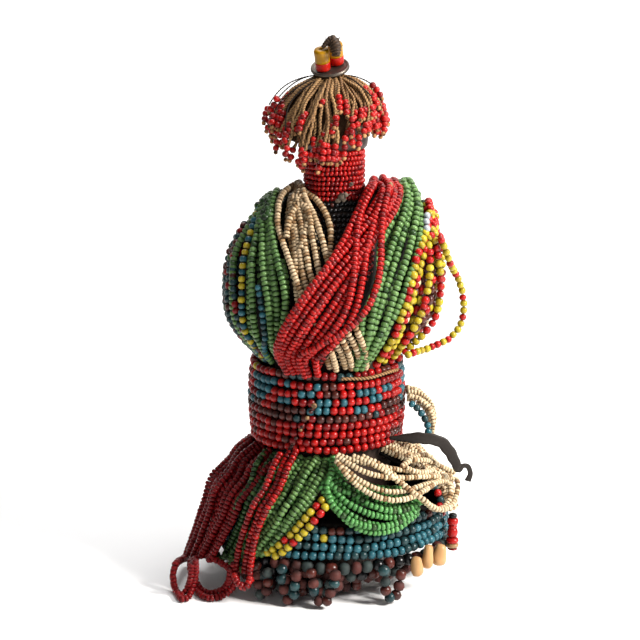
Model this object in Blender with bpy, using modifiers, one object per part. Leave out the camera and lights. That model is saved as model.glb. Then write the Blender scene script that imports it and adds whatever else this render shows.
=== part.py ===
"""Beaded namji doll: a turned wooden figure dressed in hanks, rows and loops of glass beads."""
import math

import bmesh
import bpy
from mathutils import Matrix, Vector

# Gaps between pieces that touch
CLEAR = 0.0003
HIDDEN_GAP = 0.0008

# The wooden figure
FOOT_RADIUS = 0.027
BODY_RADIUS = 0.033
SHOULDER_RADIUS = 0.030
HEAD_RADIUS = 0.0185
HEAD_HEIGHT = 0.034

# Beads, by diameter
SEED = 0.0033
NECK_BEAD = 0.0025
BELT_BEAD = 0.0044
SKIRT_BEAD = 0.0050
HEM_BEAD = 0.0066
LOOP_BEAD = 0.0058
STRAND_BEAD = 0.0042

# Rows of beads wound round the figure
SKIRT_HEIGHT = 0.0796
BELT_ROWS = 10
BELT_MIXED_ROWS = 5
BELT_ROOM = 0.0010
BELT_BULGE = 0.0016
BELT_SHIFT = -0.0040
TORSO_HEIGHT = 0.0889
NECK_ROWS = 10
NECK_RADIUS = 0.0168
NECK_PITCH = 0.00265
COLLAR_ROWS = 8
SKIRT_ROWS = 4

# The bead hanks of the torso and of the skirt, by half width and half depth
TORSO_HALF_WIDTH = 0.062
TORSO_HALF_DEPTH = 0.050
SKIRT_HALF_WIDTH = 0.067
SKIRT_HALF_DEPTH = 0.060
SPLAY = 0.017

# The hair of twisted cords and what stands on it
HAIR_RADIUS = 0.0325
HAIR_THICKNESS = 0.0038
HAIR_SHIFT = -0.0045
HAIR_CORDS = 22
DISC_RADIUS = 0.0105
DISC_THICKNESS = 0.0022
CROWN_LEAN = 25.0
CROWN_ROLL = 5.5
CROWN_BEAD_RADIUS = 0.0041
CROWN_BEAD_HEIGHT = 0.0124
CROWN_BEAD_BORE = 0.0012

# Sizes that follow from those above
BELT_RADIUS = BODY_RADIUS - BELT_SHIFT + BELT_ROOM + BELT_BEAD
BELT_PITCH = BELT_BEAD
BELT_TOP = SKIRT_HEIGHT + BELT_ROWS * BELT_PITCH
NECK_BASE = BELT_TOP + TORSO_HEIGHT
HEAD_BASE = NECK_BASE + NECK_ROWS * NECK_PITCH
HEAD_TOP = HEAD_BASE + HEAD_HEIGHT
NECK_INNER = NECK_RADIUS - NECK_BEAD
BELT_INNER = BELT_RADIUS - BELT_BEAD
COLLAR_TOP = NECK_BASE - CLEAR
COLLAR_BASE = COLLAR_TOP - COLLAR_ROWS * NECK_PITCH
HAIR_TOP = HEAD_TOP + HAIR_THICKNESS + 1.8 * HIDDEN_GAP
DISC_CENTRE = (-0.0023, 0.0, HEAD_TOP + 0.0092)
HEM_HEIGHT = 0.0215
SKIRT_ROWS_TOP = HEM_HEIGHT + 0.5 * HEM_BEAD + CLEAR + SKIRT_ROWS * SKIRT_BEAD

PARTS = "namji_doll"
FIGURE_STEPS = 14
BELT_STEPS = 20
TORSO_STATIONS = 13
SKIRT_STATIONS = 6
HAIR_STATIONS = 4

# How far each knot of a profile lies along its surface, then its shares of width and depth
TORSO_KNOTS = (0.0, 0.1, 0.2, 0.3, 0.5, 0.75, 1.0)
TORSO_LEFT = (None, 0.45, 0.60, 0.75, 0.96, 0.97, None)
TORSO_RIGHT = (None, 0.55, 0.72, 0.85, 1.00, 0.97, None)
TORSO_DEPTH = (None, 0.47, 0.59, 0.71, 0.91, 0.98, None)
TORSO_DROP_LEFT = (-0.11, -0.08, -0.025, 0.09, 0.36, 0.72, 1.0)
TORSO_DROP_RIGHT = (-0.13, -0.13, -0.105, 0.012, 0.30, 0.72, 1.0)
TORSO_DROP_FRONT = (-0.015, 0.035, 0.115, 0.205, 0.45, 0.75, 1.0)
TORSO_DROP_BACK = (-0.045, 0.0, 0.07, 0.17, 0.43, 0.75, 1.0)

SKIRT_KNOTS = (0.0, 0.12, 0.32, 0.52, 0.75, 1.0)
SKIRT_SIDE = (None, 0.80, 0.93, 0.985, 1.0, 1.0)
SKIRT_DEPTH = (None, 0.83, 0.92, 0.965, 1.0, 1.0)

# Edges between hanks over the shoulders: angle from the front in degrees, share of the way to the belt
WHITE_INNER = ((26, 1), (10, 0.77), (1, 0.56), (-2, 0.37), (-5, 0.2), (-32, 0.04), (-90, 0),
               (-125, 0.03), (-158, 0.12), (-172, 0.3), (-177, 0.52), (-179, 0.76), (-179, 1))
WHITE_GREEN = ((-5, 1), (-15, 0.77), (-24, 0.57), (-34, 0.39), (-47, 0.26), (-64, 0.14), (-90, 0.09),
               (-112, 0.12), (-132, 0.2), (-145, 0.34), (-150, 0.54), (-151, 0.76), (-150, 1))
GREEN_MIXED = ((-60, 1), (-59, 0.8), (-62, 0.62), (-68, 0.48), (-76, 0.38), (-84, 0.32), (-90, 0.30),
               (-96, 0.32), (-102, 0.38), (-107, 0.48), (-110, 0.62), (-112, 0.8), (-113, 1))
MIXED_END = ((-86, 1), (-86.5, 0.85), (-87, 0.74), (-87.5, 0.66), (-88, 0.61), (-89, 0.58), (-90, 0.57),
             (-91, 0.58), (-92, 0.61), (-92.5, 0.66), (-93, 0.74), (-93.5, 0.85), (-94, 1))
RED_INNER = ((-43, 1), (-29, 0.8), (-15, 0.58), (0, 0.39), (11, 0.2), (33, 0.04), (90, 0),
             (125, 0.03), (156, 0.12), (170, 0.3), (175, 0.52), (178, 0.76), (178, 1))
RED_GREEN = ((-9, 1), (4, 0.81), (15, 0.63), (22, 0.47), (27, 0.32), (48, 0.21), (90, 0.11),
             (112, 0.14), (130, 0.22), (138, 0.35), (140, 0.54), (141, 0.76), (141, 1))
GREEN_INNER = ((28, 1), (15, 0.8), (12, 0.63), (17, 0.48), (29, 0.37), (52, 0.25), (90, 0.14),
               (109, 0.17), (126, 0.25), (134, 0.37), (137, 0.55), (138, 0.77), (138, 1))
GREEN_YELLOW = ((38, 1), (29, 0.8), (34, 0.62), (43, 0.49), (58, 0.38), (75, 0.32), (90, 0.29),
                (99, 0.31), (108, 0.37), (116, 0.48), (121, 0.62), (124, 0.8), (125, 1))
YELLOW_END = ((86, 1), (86.5, 0.85), (87, 0.74), (87.5, 0.66), (88, 0.61), (89, 0.58), (90, 0.57),
              (91, 0.58), (92, 0.61), (92.5, 0.66), (93, 0.74), (93.5, 0.85), (94, 1))

# Edges of the hanks below the belt, from the belt down, as angle and share of the way to the floor
SKIRT_BACK_RED = ((-98, 0), (-97, 0.15), (-96, 0.3), (-94, 0.5), (-90, 0.7), (-86, 0.9))
SKIRT_BACK_RED_ROUND = tuple((angle + 360, along) for angle, along in SKIRT_BACK_RED)
SKIRT_RED_GREEN = ((-38, 0), (-42, 0.15), (-47, 0.3), (-53, 0.5), (-58, 0.7), (-62, 0.88))
SKIRT_GREEN_SWAG = ((5, 0), (-2, 0.15), (-8, 0.3), (-14, 0.44), (-22, 0.56), (-30, 0.65))
SWAG_TOP = ((14, 0), (15, 0.1), (21, 0.19), (33, 0.25), (46, 0.26), (57, 0.22))
SWAG_BOTTOM = ((7, 0), (1, 0.15), (3, 0.34), (15, 0.47), (35, 0.49), (57, 0.36))
SIDE_WHITE_FRONT = ((50, 0), (56, 0.08), (61, 0.17), (65, 0.27), (67, 0.38), (69, 0.5))
SIDE_WHITE_BACK = ((105, 0), (106, 0.12), (107, 0.25), (108, 0.38), (109, 0.5), (110, 0.6))
BACK_MIXED_GREEN = ((150, 0), (151, 0.12), (152, 0.27), (153, 0.42), (154, 0.54), (155, 0.64))
BACK_GREEN_RED = ((205, 0), (206, 0.12), (208, 0.27), (210, 0.42), (212, 0.56), (214, 0.66))
WHITE_SWAG_TOP = ((50, 0.04), (55, 0.07), (62, 0.1), (70, 0.13), (78, 0.17), (84, 0.22))
WHITE_SWAG_BOTTOM = ((2, 0.04), (10, 0.13), (20, 0.22), (37, 0.33), (58, 0.41), (80, 0.44))
RED_TRIO_LEFT = ((-29, 0.04), (-34, 0.16), (-41, 0.34), (-46, 0.5), (-48, 0.68), (-50, 0.87))
RED_TRIO_RIGHT = ((-16, 0.04), (-21, 0.16), (-28, 0.34), (-33, 0.5), (-35, 0.68), (-38, 0.87))

# Loops of large beads round the hem: angle in degrees and half width
HEM_LOOPS = ((-34, 0.0042), (-20.5, 0.0042), (-5, 0.0062), (27, 0.0058), (135, 0.0080), (185, 0.0080))

# How low the hair hangs, by angle from the front
HAIR_ANGLES = (-180, -90, -45, 0, 40, 90, 180)
HAIR_TIPS = (0.240, 0.243, 0.232, 0.230, 0.244, 0.247, 0.240)

# The courses of loose pieces, as (x, y, z) from what carries them, with the radius last where it changes.
# The crown fibre is measured from the middle of the disc.
CROWN_FIBRE = ((-0.0043, -0.0094, 0.0108, 0.0009), (-0.0017, -0.0090, 0.0134, 0.0016),
               (0.0011, -0.0090, 0.0150, 0.0022), (0.0027, -0.0104, 0.0113, 0.0028),
               (0.0027, -0.0116, 0.0063, 0.0021))
# The pieces beside the belt are measured from its right-hand side, at its lower edge. The white side
# loops run across the front, so theirs is (x, z).
SIDE_LOOP = ((0.0026, 0.0276), (0.0102, 0.0254), (0.0163, 0.0189), (0.0181, 0.0109), (0.0171, 0.0039))
SIDE_LOOP_FRONT = -0.0185
SIDE_LOOP_WIDTH = 0.0285
SIDE_STRAND = ((0.0023, -0.0209, 0.0234), (0.0067, -0.0209, 0.0204), (0.0108, -0.0209, 0.0149),
               (0.0130, -0.0209, 0.0089), (0.0126, -0.0214, 0.0034))
LEATHER = ((-0.0084, -0.0284, 0.0054, 0.0008), (0.0056, -0.0321, 0.0066, 0.0009),
           (0.0126, -0.0325, 0.0062, 0.0009), (0.0191, -0.0315, 0.0042, 0.0009),
           (0.0236, -0.0305, -0.0008, 0.0009), (0.0271, -0.0295, -0.0072, 0.0008),
           (0.0291, -0.0295, -0.0118, 0.0006), (0.0316, -0.0290, -0.0102, 0.0004),
           (0.0344, -0.0285, -0.0106, 0.0004), (0.0358, -0.0280, -0.0146, 0.0004),
           (0.0346, -0.0280, -0.0191, 0.0005))
# The loose loop is measured from the right-hand side of the torso's hanks, at the top of the belt.
LOOSE_LOOP = ((-0.0058, -0.0198, 0.0703), (-0.0028, -0.0173, 0.0640), (0.0004, -0.0133, 0.0550),
              (0.0044, -0.0045, 0.0475), (0.0071, -0.0020, 0.0409), (0.0088, 0.0, 0.0350),
              (0.0094, 0.0, 0.0284), (0.0086, 0.0, 0.0206), (0.0060, -0.0008, 0.0152),
              (0.0009, -0.0040, 0.0108), (-0.0068, -0.0100, 0.0085), (-0.0140, -0.0160, 0.0075),
              (-0.0199, -0.0235, 0.0077), (-0.0241, -0.0275, 0.0064))
# The pendants hang against the ring of hem beads, at a share of a bead from its middle. Each shell is
# its angle from the front in degrees, how far its middle is above the ring, its radius, half its length
# and its lean in degrees.
PENDANT_SEAT = 0.42
SHELLS = ((39.3, -0.0022, 0.0034, 0.0056, 6), (46.2, 0.0014, 0.0033, 0.0066, -8),
          (54.2, 0.0, 0.0040, 0.0060, -14))
RED_PENDANT_ANGLE = 70
RED_PENDANT_TOP = 0.478
RED_PENDANT_DROP = 0.0012
RED_PENDANT_BEAD = 0.0064
WAIST_CORD_RADIUS = 0.0008
WAIST_CORD_ANGLES = (14, 26, 38, 50, 60)


def clear_scene():
    for obj in list(bpy.data.objects):
        bpy.data.objects.remove(obj)


def make_collection():
    collection = bpy.data.collections.new(PARTS)
    bpy.context.scene.collection.children.link(collection)
    return collection


def make_material(name, colour, roughness=0.35, metallic=0.0):
    material = bpy.data.materials.new(name)
    material.use_nodes = True
    shader = material.node_tree.nodes["Principled BSDF"]
    shader.inputs["Base Color"].default_value = (*colour, 1.0)
    shader.inputs["Roughness"].default_value = roughness
    shader.inputs["Metallic"].default_value = metallic
    return material


def add_mesh(name, mesh, material):
    obj = bpy.data.objects.new(name, mesh)
    bpy.data.collections[PARTS].objects.link(obj)
    mesh.materials.append(material)
    mesh.shade_smooth()
    mesh.set_sharp_from_angle(angle=math.radians(50))
    return obj


def turned(name, profile, material, steps=28, centre=(0.0, 0.0)):
    """Turns a profile of (radius, height) points about the upright axis through centre.

    A profile that starts and ends on the axis makes a full solid, any other one a ring."""
    mesh = bpy.data.meshes.new(name)
    points = [(radius, 0.0, height) for radius, height in profile]
    edges = [(i, i + 1) for i in range(len(points) - 1)]
    if profile[0][0] > 0:
        edges.append((len(points) - 1, 0))
    mesh.from_pydata(points, edges, [])
    obj = add_mesh(name, mesh, material)
    obj.location = (centre[0], centre[1], 0.0)
    screw = obj.modifiers.new("turn", "SCREW")
    screw.steps = steps
    screw.render_steps = steps
    screw.use_merge_vertices = True
    screw.merge_threshold = 0.00001
    return obj


def row_profile(rows, pitch, bead, crest_at, inner_at, top):
    """A closed profile of bead rows from the top down, each one a bulge, with a plain inner side.

    crest_at and inner_at give the outer and the inner radius at a height."""
    points = [(crest_at(top) - 0.34 * bead, top)]
    for row in range(rows):
        middle = top - (row + 0.5) * pitch
        points.append((crest_at(middle), middle))
        points.append((crest_at(middle - 0.5 * pitch) - 0.34 * bead, middle - 0.5 * pitch))
    points.append((inner_at(top - rows * pitch), top - rows * pitch))
    points.append((inner_at(top), top))
    return points


def smooth_through(knots, values, at):
    """The value at a place on the smooth curve through values, which stand at rising knots."""
    last = len(knots) - 1
    i = 0
    while i < last - 1 and at > knots[i + 1]:
        i += 1
    span = knots[i + 1] - knots[i]
    x = (at - knots[i]) / span

    def slope(k):
        low, high = max(k - 1, 0), min(k + 1, last)
        return (values[high] - values[low]) / (knots[high] - knots[low])

    left, right = slope(i) * span, slope(i + 1) * span
    rise = values[i + 1] - values[i]
    return values[i] + x * (left + x * (3 * rise - 2 * left - right + x * (left + right - 2 * rise)))


def torso_radii(shares, half):
    """The radii at a torso profile's knots, from the neck beads out and back in to the belt."""
    inner = [share * half for share in shares[1:-1]]
    return [NECK_RADIUS + 0.8 * SEED, *inner, BELT_INNER + 0.6 * SEED]


def torso_point(angle, along):
    """The place on the crests of the torso's hanks at an angle and a share of the way to the belt."""
    side = math.sin(angle) ** 2
    right_side = math.sin(angle) > 0
    wide = torso_radii(TORSO_RIGHT if right_side else TORSO_LEFT, TORSO_HALF_WIDTH)
    drops = TORSO_DROP_RIGHT if right_side else TORSO_DROP_LEFT
    ends = TORSO_DROP_FRONT if math.cos(angle) > 0 else TORSO_DROP_BACK
    half_width = smooth_through(TORSO_KNOTS, wide, along)
    half_depth = smooth_through(TORSO_KNOTS, torso_radii(TORSO_DEPTH, TORSO_HALF_DEPTH), along)
    drop = (side * smooth_through(TORSO_KNOTS, drops, along)
            + (1 - side) * smooth_through(TORSO_KNOTS, ends, along))
    shift = BELT_SHIFT * 0.5 * max(0.0, along - 0.6) / 0.4
    room = TORSO_HEIGHT - CLEAR
    height = NECK_BASE - drop * room
    return Vector((half_width * math.sin(angle) + shift, -half_depth * math.cos(angle), height))


def skirt_point(angle, along):
    """The place on the crests of the skirt's hanks at an angle and a share of the way to the floor."""
    top = BELT_INNER + 0.3 * SEED
    wide = [top] + [share * SKIRT_HALF_WIDTH for share in SKIRT_SIDE[1:]]
    deep = [top] + [share * SKIRT_HALF_DEPTH for share in SKIRT_DEPTH[1:]]
    half_width = smooth_through(SKIRT_KNOTS, wide, along)
    half_depth = smooth_through(SKIRT_KNOTS, deep, along)
    shift = BELT_SHIFT * max(0.0, 1 - along / 0.5)
    height = (SKIRT_HEIGHT - CLEAR) * (1 - along) + CLEAR * along
    return Vector((half_width * math.sin(angle) + shift, -half_depth * math.cos(angle), height))


def lifted(surface, angle, along, lift):
    """A point that stands off a surface by lift, along the surface's outward normal."""
    step = 0.02
    low, high = max(along - step, 0.0), min(along + step, 1.0)
    down = surface(angle, high) - surface(angle, low)
    across = surface(angle + step, along) - surface(angle - step, along)
    point = surface(angle, along)
    stood = point + down.cross(across).normalized() * lift
    stood.z = max(stood.z, surface(angle, 1.0).z)
    return stood


def edge_at(edge, share):
    """(angle in radians, along) at a share of the way along an edge's knots."""
    knots = [i / (len(edge) - 1) for i in range(len(edge))]
    angle = smooth_through(knots, [math.radians(knot[0]) for knot in edge], share)
    along = smooth_through(knots, [knot[1] for knot in edge], share)
    return angle, min(max(along, 0.0), 1.0)


def hank(name, outer, inner, strands, stations, material, inner_columns=2):
    """A hank of strands as one ribbed solid.

    outer(across, way, rib) is a point on its outside: across and way run from 0 to 1, and rib is 1 on
    a strand's crest and 0 between two strands. inner(across, way) is a point on its inside."""
    columns = 2 * strands
    bm = bmesh.new()
    out_grid = [[bm.verts.new(outer(j / columns, k / stations, j % 2)) for j in range(columns + 1)]
                for k in range(stations + 1)]
    in_grid = [[bm.verts.new(inner(c / inner_columns, k / stations)) for c in range(inner_columns + 1)]
               for k in range(stations + 1)]
    for k in range(stations):
        for j in range(columns):
            bm.faces.new((out_grid[k][j], out_grid[k][j + 1], out_grid[k + 1][j + 1], out_grid[k + 1][j]))
        for c in range(inner_columns):
            bm.faces.new((in_grid[k + 1][c], in_grid[k + 1][c + 1], in_grid[k][c + 1], in_grid[k][c]))
        # The same diagonal on both sides lets two neighbouring hanks share a twisted side without touching.
        for side in (0, -1):
            out_now, out_next = out_grid[k][side], out_grid[k + 1][side]
            in_now, in_next = in_grid[k][side], in_grid[k + 1][side]
            bm.faces.new((out_now, out_next, in_next))
            bm.faces.new((out_now, in_next, in_now))
    for row, flip in ((0, False), (stations, True)):
        close_end(bm, out_grid[row], in_grid[row], flip)
    bmesh.ops.recalc_face_normals(bm, faces=bm.faces)
    mesh = bpy.data.meshes.new(name)
    bm.to_mesh(mesh)
    bm.free()
    return add_mesh(name, mesh, material)


def close_end(bm, outer_row, inner_row, flip):
    """Fills the end of a hank between its many outer points and its few inner ones."""
    spans = len(outer_row) - 1
    inner_spans = len(inner_row) - 1
    at = 0
    for j in range(spans):
        face = (outer_row[j], outer_row[j + 1], inner_row[at])
        bm.faces.new(face if flip else face[::-1])
        if (j + 1) * inner_spans / spans >= at + 1:
            face = (outer_row[j + 1], inner_row[at + 1], inner_row[at])
            bm.faces.new(face if flip else face[::-1])
            at += 1


def between(first, second, across, way, gap):
    """(angle, along) between two edges, keeping half a gap to each edge."""
    a, b = edge_at(first, way), edge_at(second, way)
    share = gap + (1 - 2 * gap) * across
    return a[0] + (b[0] - a[0]) * share, a[1] + (b[1] - a[1]) * share


def on_shoulder(height):
    """The radius on which the collar's rows lie, on the sloping wooden shoulders."""
    share = (NECK_BASE - height) / (NECK_BASE - COLLAR_BASE)
    return NECK_INNER + CLEAR + (SHOULDER_RADIUS - NECK_INNER) * min(max(share, 0.0), 1.0)


def under_torso(angle, along):
    """The place just outside the collar and the wooden body, below a point of the torso's surface."""
    height = min(torso_point(angle, along).z, NECK_BASE - 0.25 * along * TORSO_HEIGHT)
    body = BODY_RADIUS if height < COLLAR_BASE - 2 * HIDDEN_GAP else 0.0
    radius = max(on_shoulder(height - 2 * NECK_PITCH) + NECK_BEAD, body) + HIDDEN_GAP
    return Vector((radius * math.sin(angle), -radius * math.cos(angle), height))


def torso_hank(name, first, second, strands, bead, material):
    """A hank over a shoulder, from the belt in front up, over and down to the belt behind."""
    gap = HIDDEN_GAP / (strands * bead)

    def outer(across, way, rib):
        angle, along = between(first, second, across, way, gap)
        return lifted(torso_point, angle, along, (rib - 1) * 0.32 * bead)

    def inner(across, way):
        angle, along = between(first, second, across, way, gap)
        return under_torso(angle, along)

    return hank(name, outer, inner, strands, TORSO_STATIONS, material)


def red_sash(material):
    """The red hank: it lies over the others across the chest, and against the figure behind."""
    over = 1.45 * SEED
    strands = 5

    def in_front(angle):
        share = min(max((math.radians(75) - angle) / math.radians(40), 0.0), 1.0)
        return share * share * (3 - 2 * share)

    def outer(across, way, rib):
        angle, along = between(RED_INNER, RED_GREEN, across, way, HIDDEN_GAP / (strands * SEED))
        return lifted(torso_point, angle, along, in_front(angle) * over + (rib - 1) * 0.32 * SEED)

    def inner(across, way):
        angle, along = between(RED_INNER, RED_GREEN, across, way, HIDDEN_GAP / (strands * SEED))
        front = in_front(angle)
        above = lifted(torso_point, angle, along, 0.55 * SEED)
        return above * front + under_torso(angle, along) * (1 - front)

    return hank("red_shoulder_strands", outer, inner, strands, TORSO_STATIONS, material, inner_columns=5)


def build_torso(materials):
    torso_hank("white_shoulder_strands", WHITE_INNER, WHITE_GREEN, 5, SEED, materials["white"])
    torso_hank("left_green_strands", WHITE_GREEN, GREEN_MIXED, 5, SEED, materials["green"])
    torso_hank("left_mixed_strands", GREEN_MIXED, MIXED_END, 3, SEED, materials["dark"])
    torso_hank("right_green_strands", GREEN_INNER, GREEN_YELLOW, 3, SEED, materials["green"])
    torso_hank("right_yellow_strands", GREEN_YELLOW, YELLOW_END, 4, STRAND_BEAD, materials["yellow"])
    red_sash(materials["red"])


def build_figure(materials):
    """The wooden figure: foot, body, sloping shoulders, neck and round head, turned as one."""
    neck = NECK_INNER - CLEAR
    profile = [
        (0.0, HEAD_TOP),
        (0.45 * HEAD_RADIUS, HEAD_TOP - 0.04 * HEAD_HEIGHT),
        (0.80 * HEAD_RADIUS, HEAD_TOP - 0.20 * HEAD_HEIGHT),
        (HEAD_RADIUS, HEAD_TOP - 0.50 * HEAD_HEIGHT),
        (HEAD_RADIUS, HEAD_BASE + 0.10 * HEAD_HEIGHT),
        (0.93 * HEAD_RADIUS, HEAD_BASE + CLEAR),
        (neck, HEAD_BASE + CLEAR),
        (neck, NECK_BASE),
        (SHOULDER_RADIUS, COLLAR_BASE),
        (BODY_RADIUS, COLLAR_BASE - 0.1 * TORSO_HEIGHT),
        (BODY_RADIUS, SKIRT_HEIGHT),
        (0.5 * (BODY_RADIUS + FOOT_RADIUS), 0.25 * SKIRT_HEIGHT),
        (FOOT_RADIUS, 0.002),
        (FOOT_RADIUS, 0.0),
        (0.0, 0.0),
    ]
    turned("wooden_figure", profile, materials["wood"], steps=FIGURE_STEPS)


def build_neck(materials):
    rows = row_profile(NECK_ROWS, NECK_PITCH, NECK_BEAD, lambda z: NECK_RADIUS,
                       lambda z: NECK_INNER, HEAD_BASE)
    turned("red_neck_rows", rows, materials["red"], steps=FIGURE_STEPS)
    rows = row_profile(COLLAR_ROWS, NECK_PITCH, 0.7 * NECK_BEAD, lambda z: on_shoulder(z) + 0.8 * NECK_BEAD,
                       on_shoulder, COLLAR_TOP)
    turned("black_collar_rows", rows, materials["black"], steps=FIGURE_STEPS)


def belt_crest(height):
    """The radius of the belt's crests, which bulge a little at half its height."""
    share = min(max((BELT_TOP - height) / (BELT_TOP - SKIRT_HEIGHT), 0.0), 1.0)
    return BELT_RADIUS + BELT_BULGE * math.sin(math.pi * share)


def build_belt(materials):
    """Two bands of belt rows, the mixed one on top of the red one."""
    mixed_base = BELT_TOP - BELT_MIXED_ROWS * BELT_PITCH
    centre = (BELT_SHIFT, 0.0)
    mixed = row_profile(BELT_MIXED_ROWS, BELT_PITCH - CLEAR / BELT_MIXED_ROWS, BELT_BEAD, belt_crest,
                        lambda z: BELT_INNER, BELT_TOP)
    turned("mixed_belt_rows", mixed, materials["teal"], steps=BELT_STEPS, centre=centre)
    red_rows = BELT_ROWS - BELT_MIXED_ROWS
    red = row_profile(red_rows, BELT_PITCH, BELT_BEAD, belt_crest, lambda z: BELT_INNER, mixed_base)
    turned("red_belt_rows", red, materials["red"], steps=BELT_STEPS, centre=centre)


def skirt_hank(name, first, second, strands, bead, material, over=0.0, splay=0.0, thickness=1.5):
    """A hank that hangs from under the belt. It runs out over the rows of blue beads as it passes them.

    over lifts all of it off the surface, and splay adds to the lift towards its end."""
    deep = thickness * SEED

    def lift_at(along):
        share = min(max((along - 0.18) / 0.18, 0.0), 1.0)
        return over + (deep + HIDDEN_GAP) * share * share * (3 - 2 * share) + splay * along * along

    def outer(across, way, rib):
        angle, along = between(first, second, across, way, HIDDEN_GAP / (strands * bead))
        return lifted(skirt_point, angle, along, lift_at(along) + (rib - 1) * 0.32 * bead)

    def inner(across, way):
        angle, along = between(first, second, across, way, HIDDEN_GAP / (strands * bead))
        return lifted(skirt_point, angle, along, lift_at(along) - deep)

    return hank(name, outer, inner, strands, SKIRT_STATIONS, material, inner_columns=4)


def build_skirt(materials):
    red, green = materials["red"], materials["green"]
    white, dark = materials["white"], materials["dark"]
    skirt_hank("red_skirt_strands", SKIRT_BACK_RED, SKIRT_RED_GREEN, 7, SEED, red, splay=SPLAY)
    skirt_hank("green_skirt_strands", SKIRT_RED_GREEN, SKIRT_GREEN_SWAG, 8, SEED, green)
    skirt_hank("green_skirt_swags", SWAG_TOP, SWAG_BOTTOM, 5, SEED, green)
    skirt_hank("white_skirt_swags", WHITE_SWAG_TOP, WHITE_SWAG_BOTTOM, 5, SEED, white, over=1.9 * SEED)
    skirt_hank("red_front_strands", RED_TRIO_LEFT, RED_TRIO_RIGHT, 3, SEED, red,
               over=1.8 * SEED, thickness=1.1)
    skirt_hank("white_side_strands", SIDE_WHITE_FRONT, SIDE_WHITE_BACK, 5, SEED, white, thickness=1.2)
    skirt_hank("mixed_back_strands", SIDE_WHITE_BACK, BACK_MIXED_GREEN, 5, SEED, dark, thickness=1.3)
    skirt_hank("green_back_strands", BACK_MIXED_GREEN, BACK_GREEN_RED, 6, SEED, green)
    skirt_hank("red_back_strands", BACK_GREEN_RED, SKIRT_BACK_RED_ROUND, 6, SEED, red)

    def crest_at(height):
        share = (SKIRT_ROWS_TOP - height) / (SKIRT_ROWS * SKIRT_BEAD)
        return SKIRT_HALF_DEPTH * (0.955 + 0.035 * share)

    blue = row_profile(SKIRT_ROWS, SKIRT_BEAD, SKIRT_BEAD, crest_at,
                       lambda z: BODY_RADIUS + HIDDEN_GAP, SKIRT_ROWS_TOP)
    rows = turned("blue_skirt_rows", blue, materials["teal"], steps=BELT_STEPS)
    rows.scale.x = SKIRT_HALF_WIDTH / SKIRT_HALF_DEPTH


def bead_line(points, beads, ends_share=0.55):
    """Places two curve points for each bead, one on its crest and one at its end, along points(way)."""
    line = []
    for i in range(2 * beads + 1):
        line.append((points(i / (2 * beads)), 1.0 if i % 2 else ends_share))
    return line


def beaded_tube(name, line, bead, material, closed=False):
    curve = bpy.data.curves.new(name, "CURVE")
    curve.dimensions = "3D"
    curve.bevel_depth = 0.5 * bead
    curve.bevel_resolution = 1
    curve.use_fill_caps = not closed
    spline = curve.splines.new("POLY")
    line = line[:-1] if closed else line
    spline.points.add(len(line) - 1)
    for point, (place, radius) in zip(spline.points, line):
        point.co = (*place, 1.0)
        point.radius = radius
    spline.use_cyclic_u = closed
    obj = bpy.data.objects.new(name, curve)
    bpy.data.collections[PARTS].objects.link(obj)
    curve.materials.append(material)
    return obj


def hem_ring(angle, out=0.0):
    """A place on the ring of hem beads, or out from it, at an angle from the front."""
    return Vector(((SKIRT_HALF_WIDTH - 0.5 * HEM_BEAD + out) * math.sin(angle),
                   -(SKIRT_HALF_DEPTH - 0.5 * HEM_BEAD + out) * math.cos(angle), HEM_HEIGHT))


def build_hem(materials):
    """A ring of large beads under the blue rows, and loops of large beads that reach the floor."""
    round_skirt = math.pi * (SKIRT_HALF_WIDTH + SKIRT_HALF_DEPTH - HEM_BEAD)
    ring_beads = int(round_skirt / HEM_BEAD / 2)
    line = bead_line(lambda way: hem_ring(2 * math.pi * way), ring_beads, 0.8)
    beaded_tube("large_hem_beads", line, HEM_BEAD, materials["dark"], closed=True)

    top = HEM_HEIGHT + 0.2 * HEM_BEAD
    bottom = 0.5 * LOOP_BEAD + CLEAR
    out = 0.5 * HEM_BEAD + 0.26 * LOOP_BEAD + CLEAR
    for number, (degrees, half_width) in enumerate(HEM_LOOPS, 1):
        middle = math.radians(degrees)
        sideways = Vector((math.cos(middle), math.sin(middle), 0.0))
        centre = hem_ring(middle, out)
        centre.z = top

        def hang(way):
            turn = math.pi * (way - 0.5)
            drop = Vector((0.0, 0.0, (top - bottom) * math.cos(turn)))
            return centre + sideways * half_width * math.sin(turn) - drop

        length = math.pi * math.hypot(half_width, top - bottom) / math.sqrt(2)
        beads = round(0.8 * length / LOOP_BEAD)
        beaded_tube(f"hem_loop_{number}", bead_line(hang, beads), LOOP_BEAD, materials["dark"])


def hair_point(angle, share, depth):
    """A place in the hair: angle from the front, share of the way to the tips, and depth from its outside."""
    turn = share * math.pi / 2
    tip = smooth_through(HAIR_ANGLES, HAIR_TIPS, math.degrees(angle))
    radius = (HAIR_RADIUS - depth) * math.sin(turn)
    height = tip + (HAIR_TOP - depth - tip) * math.cos(turn)
    return Vector((radius * math.sin(angle) + HAIR_SHIFT * share, -radius * math.cos(angle), height))


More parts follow.
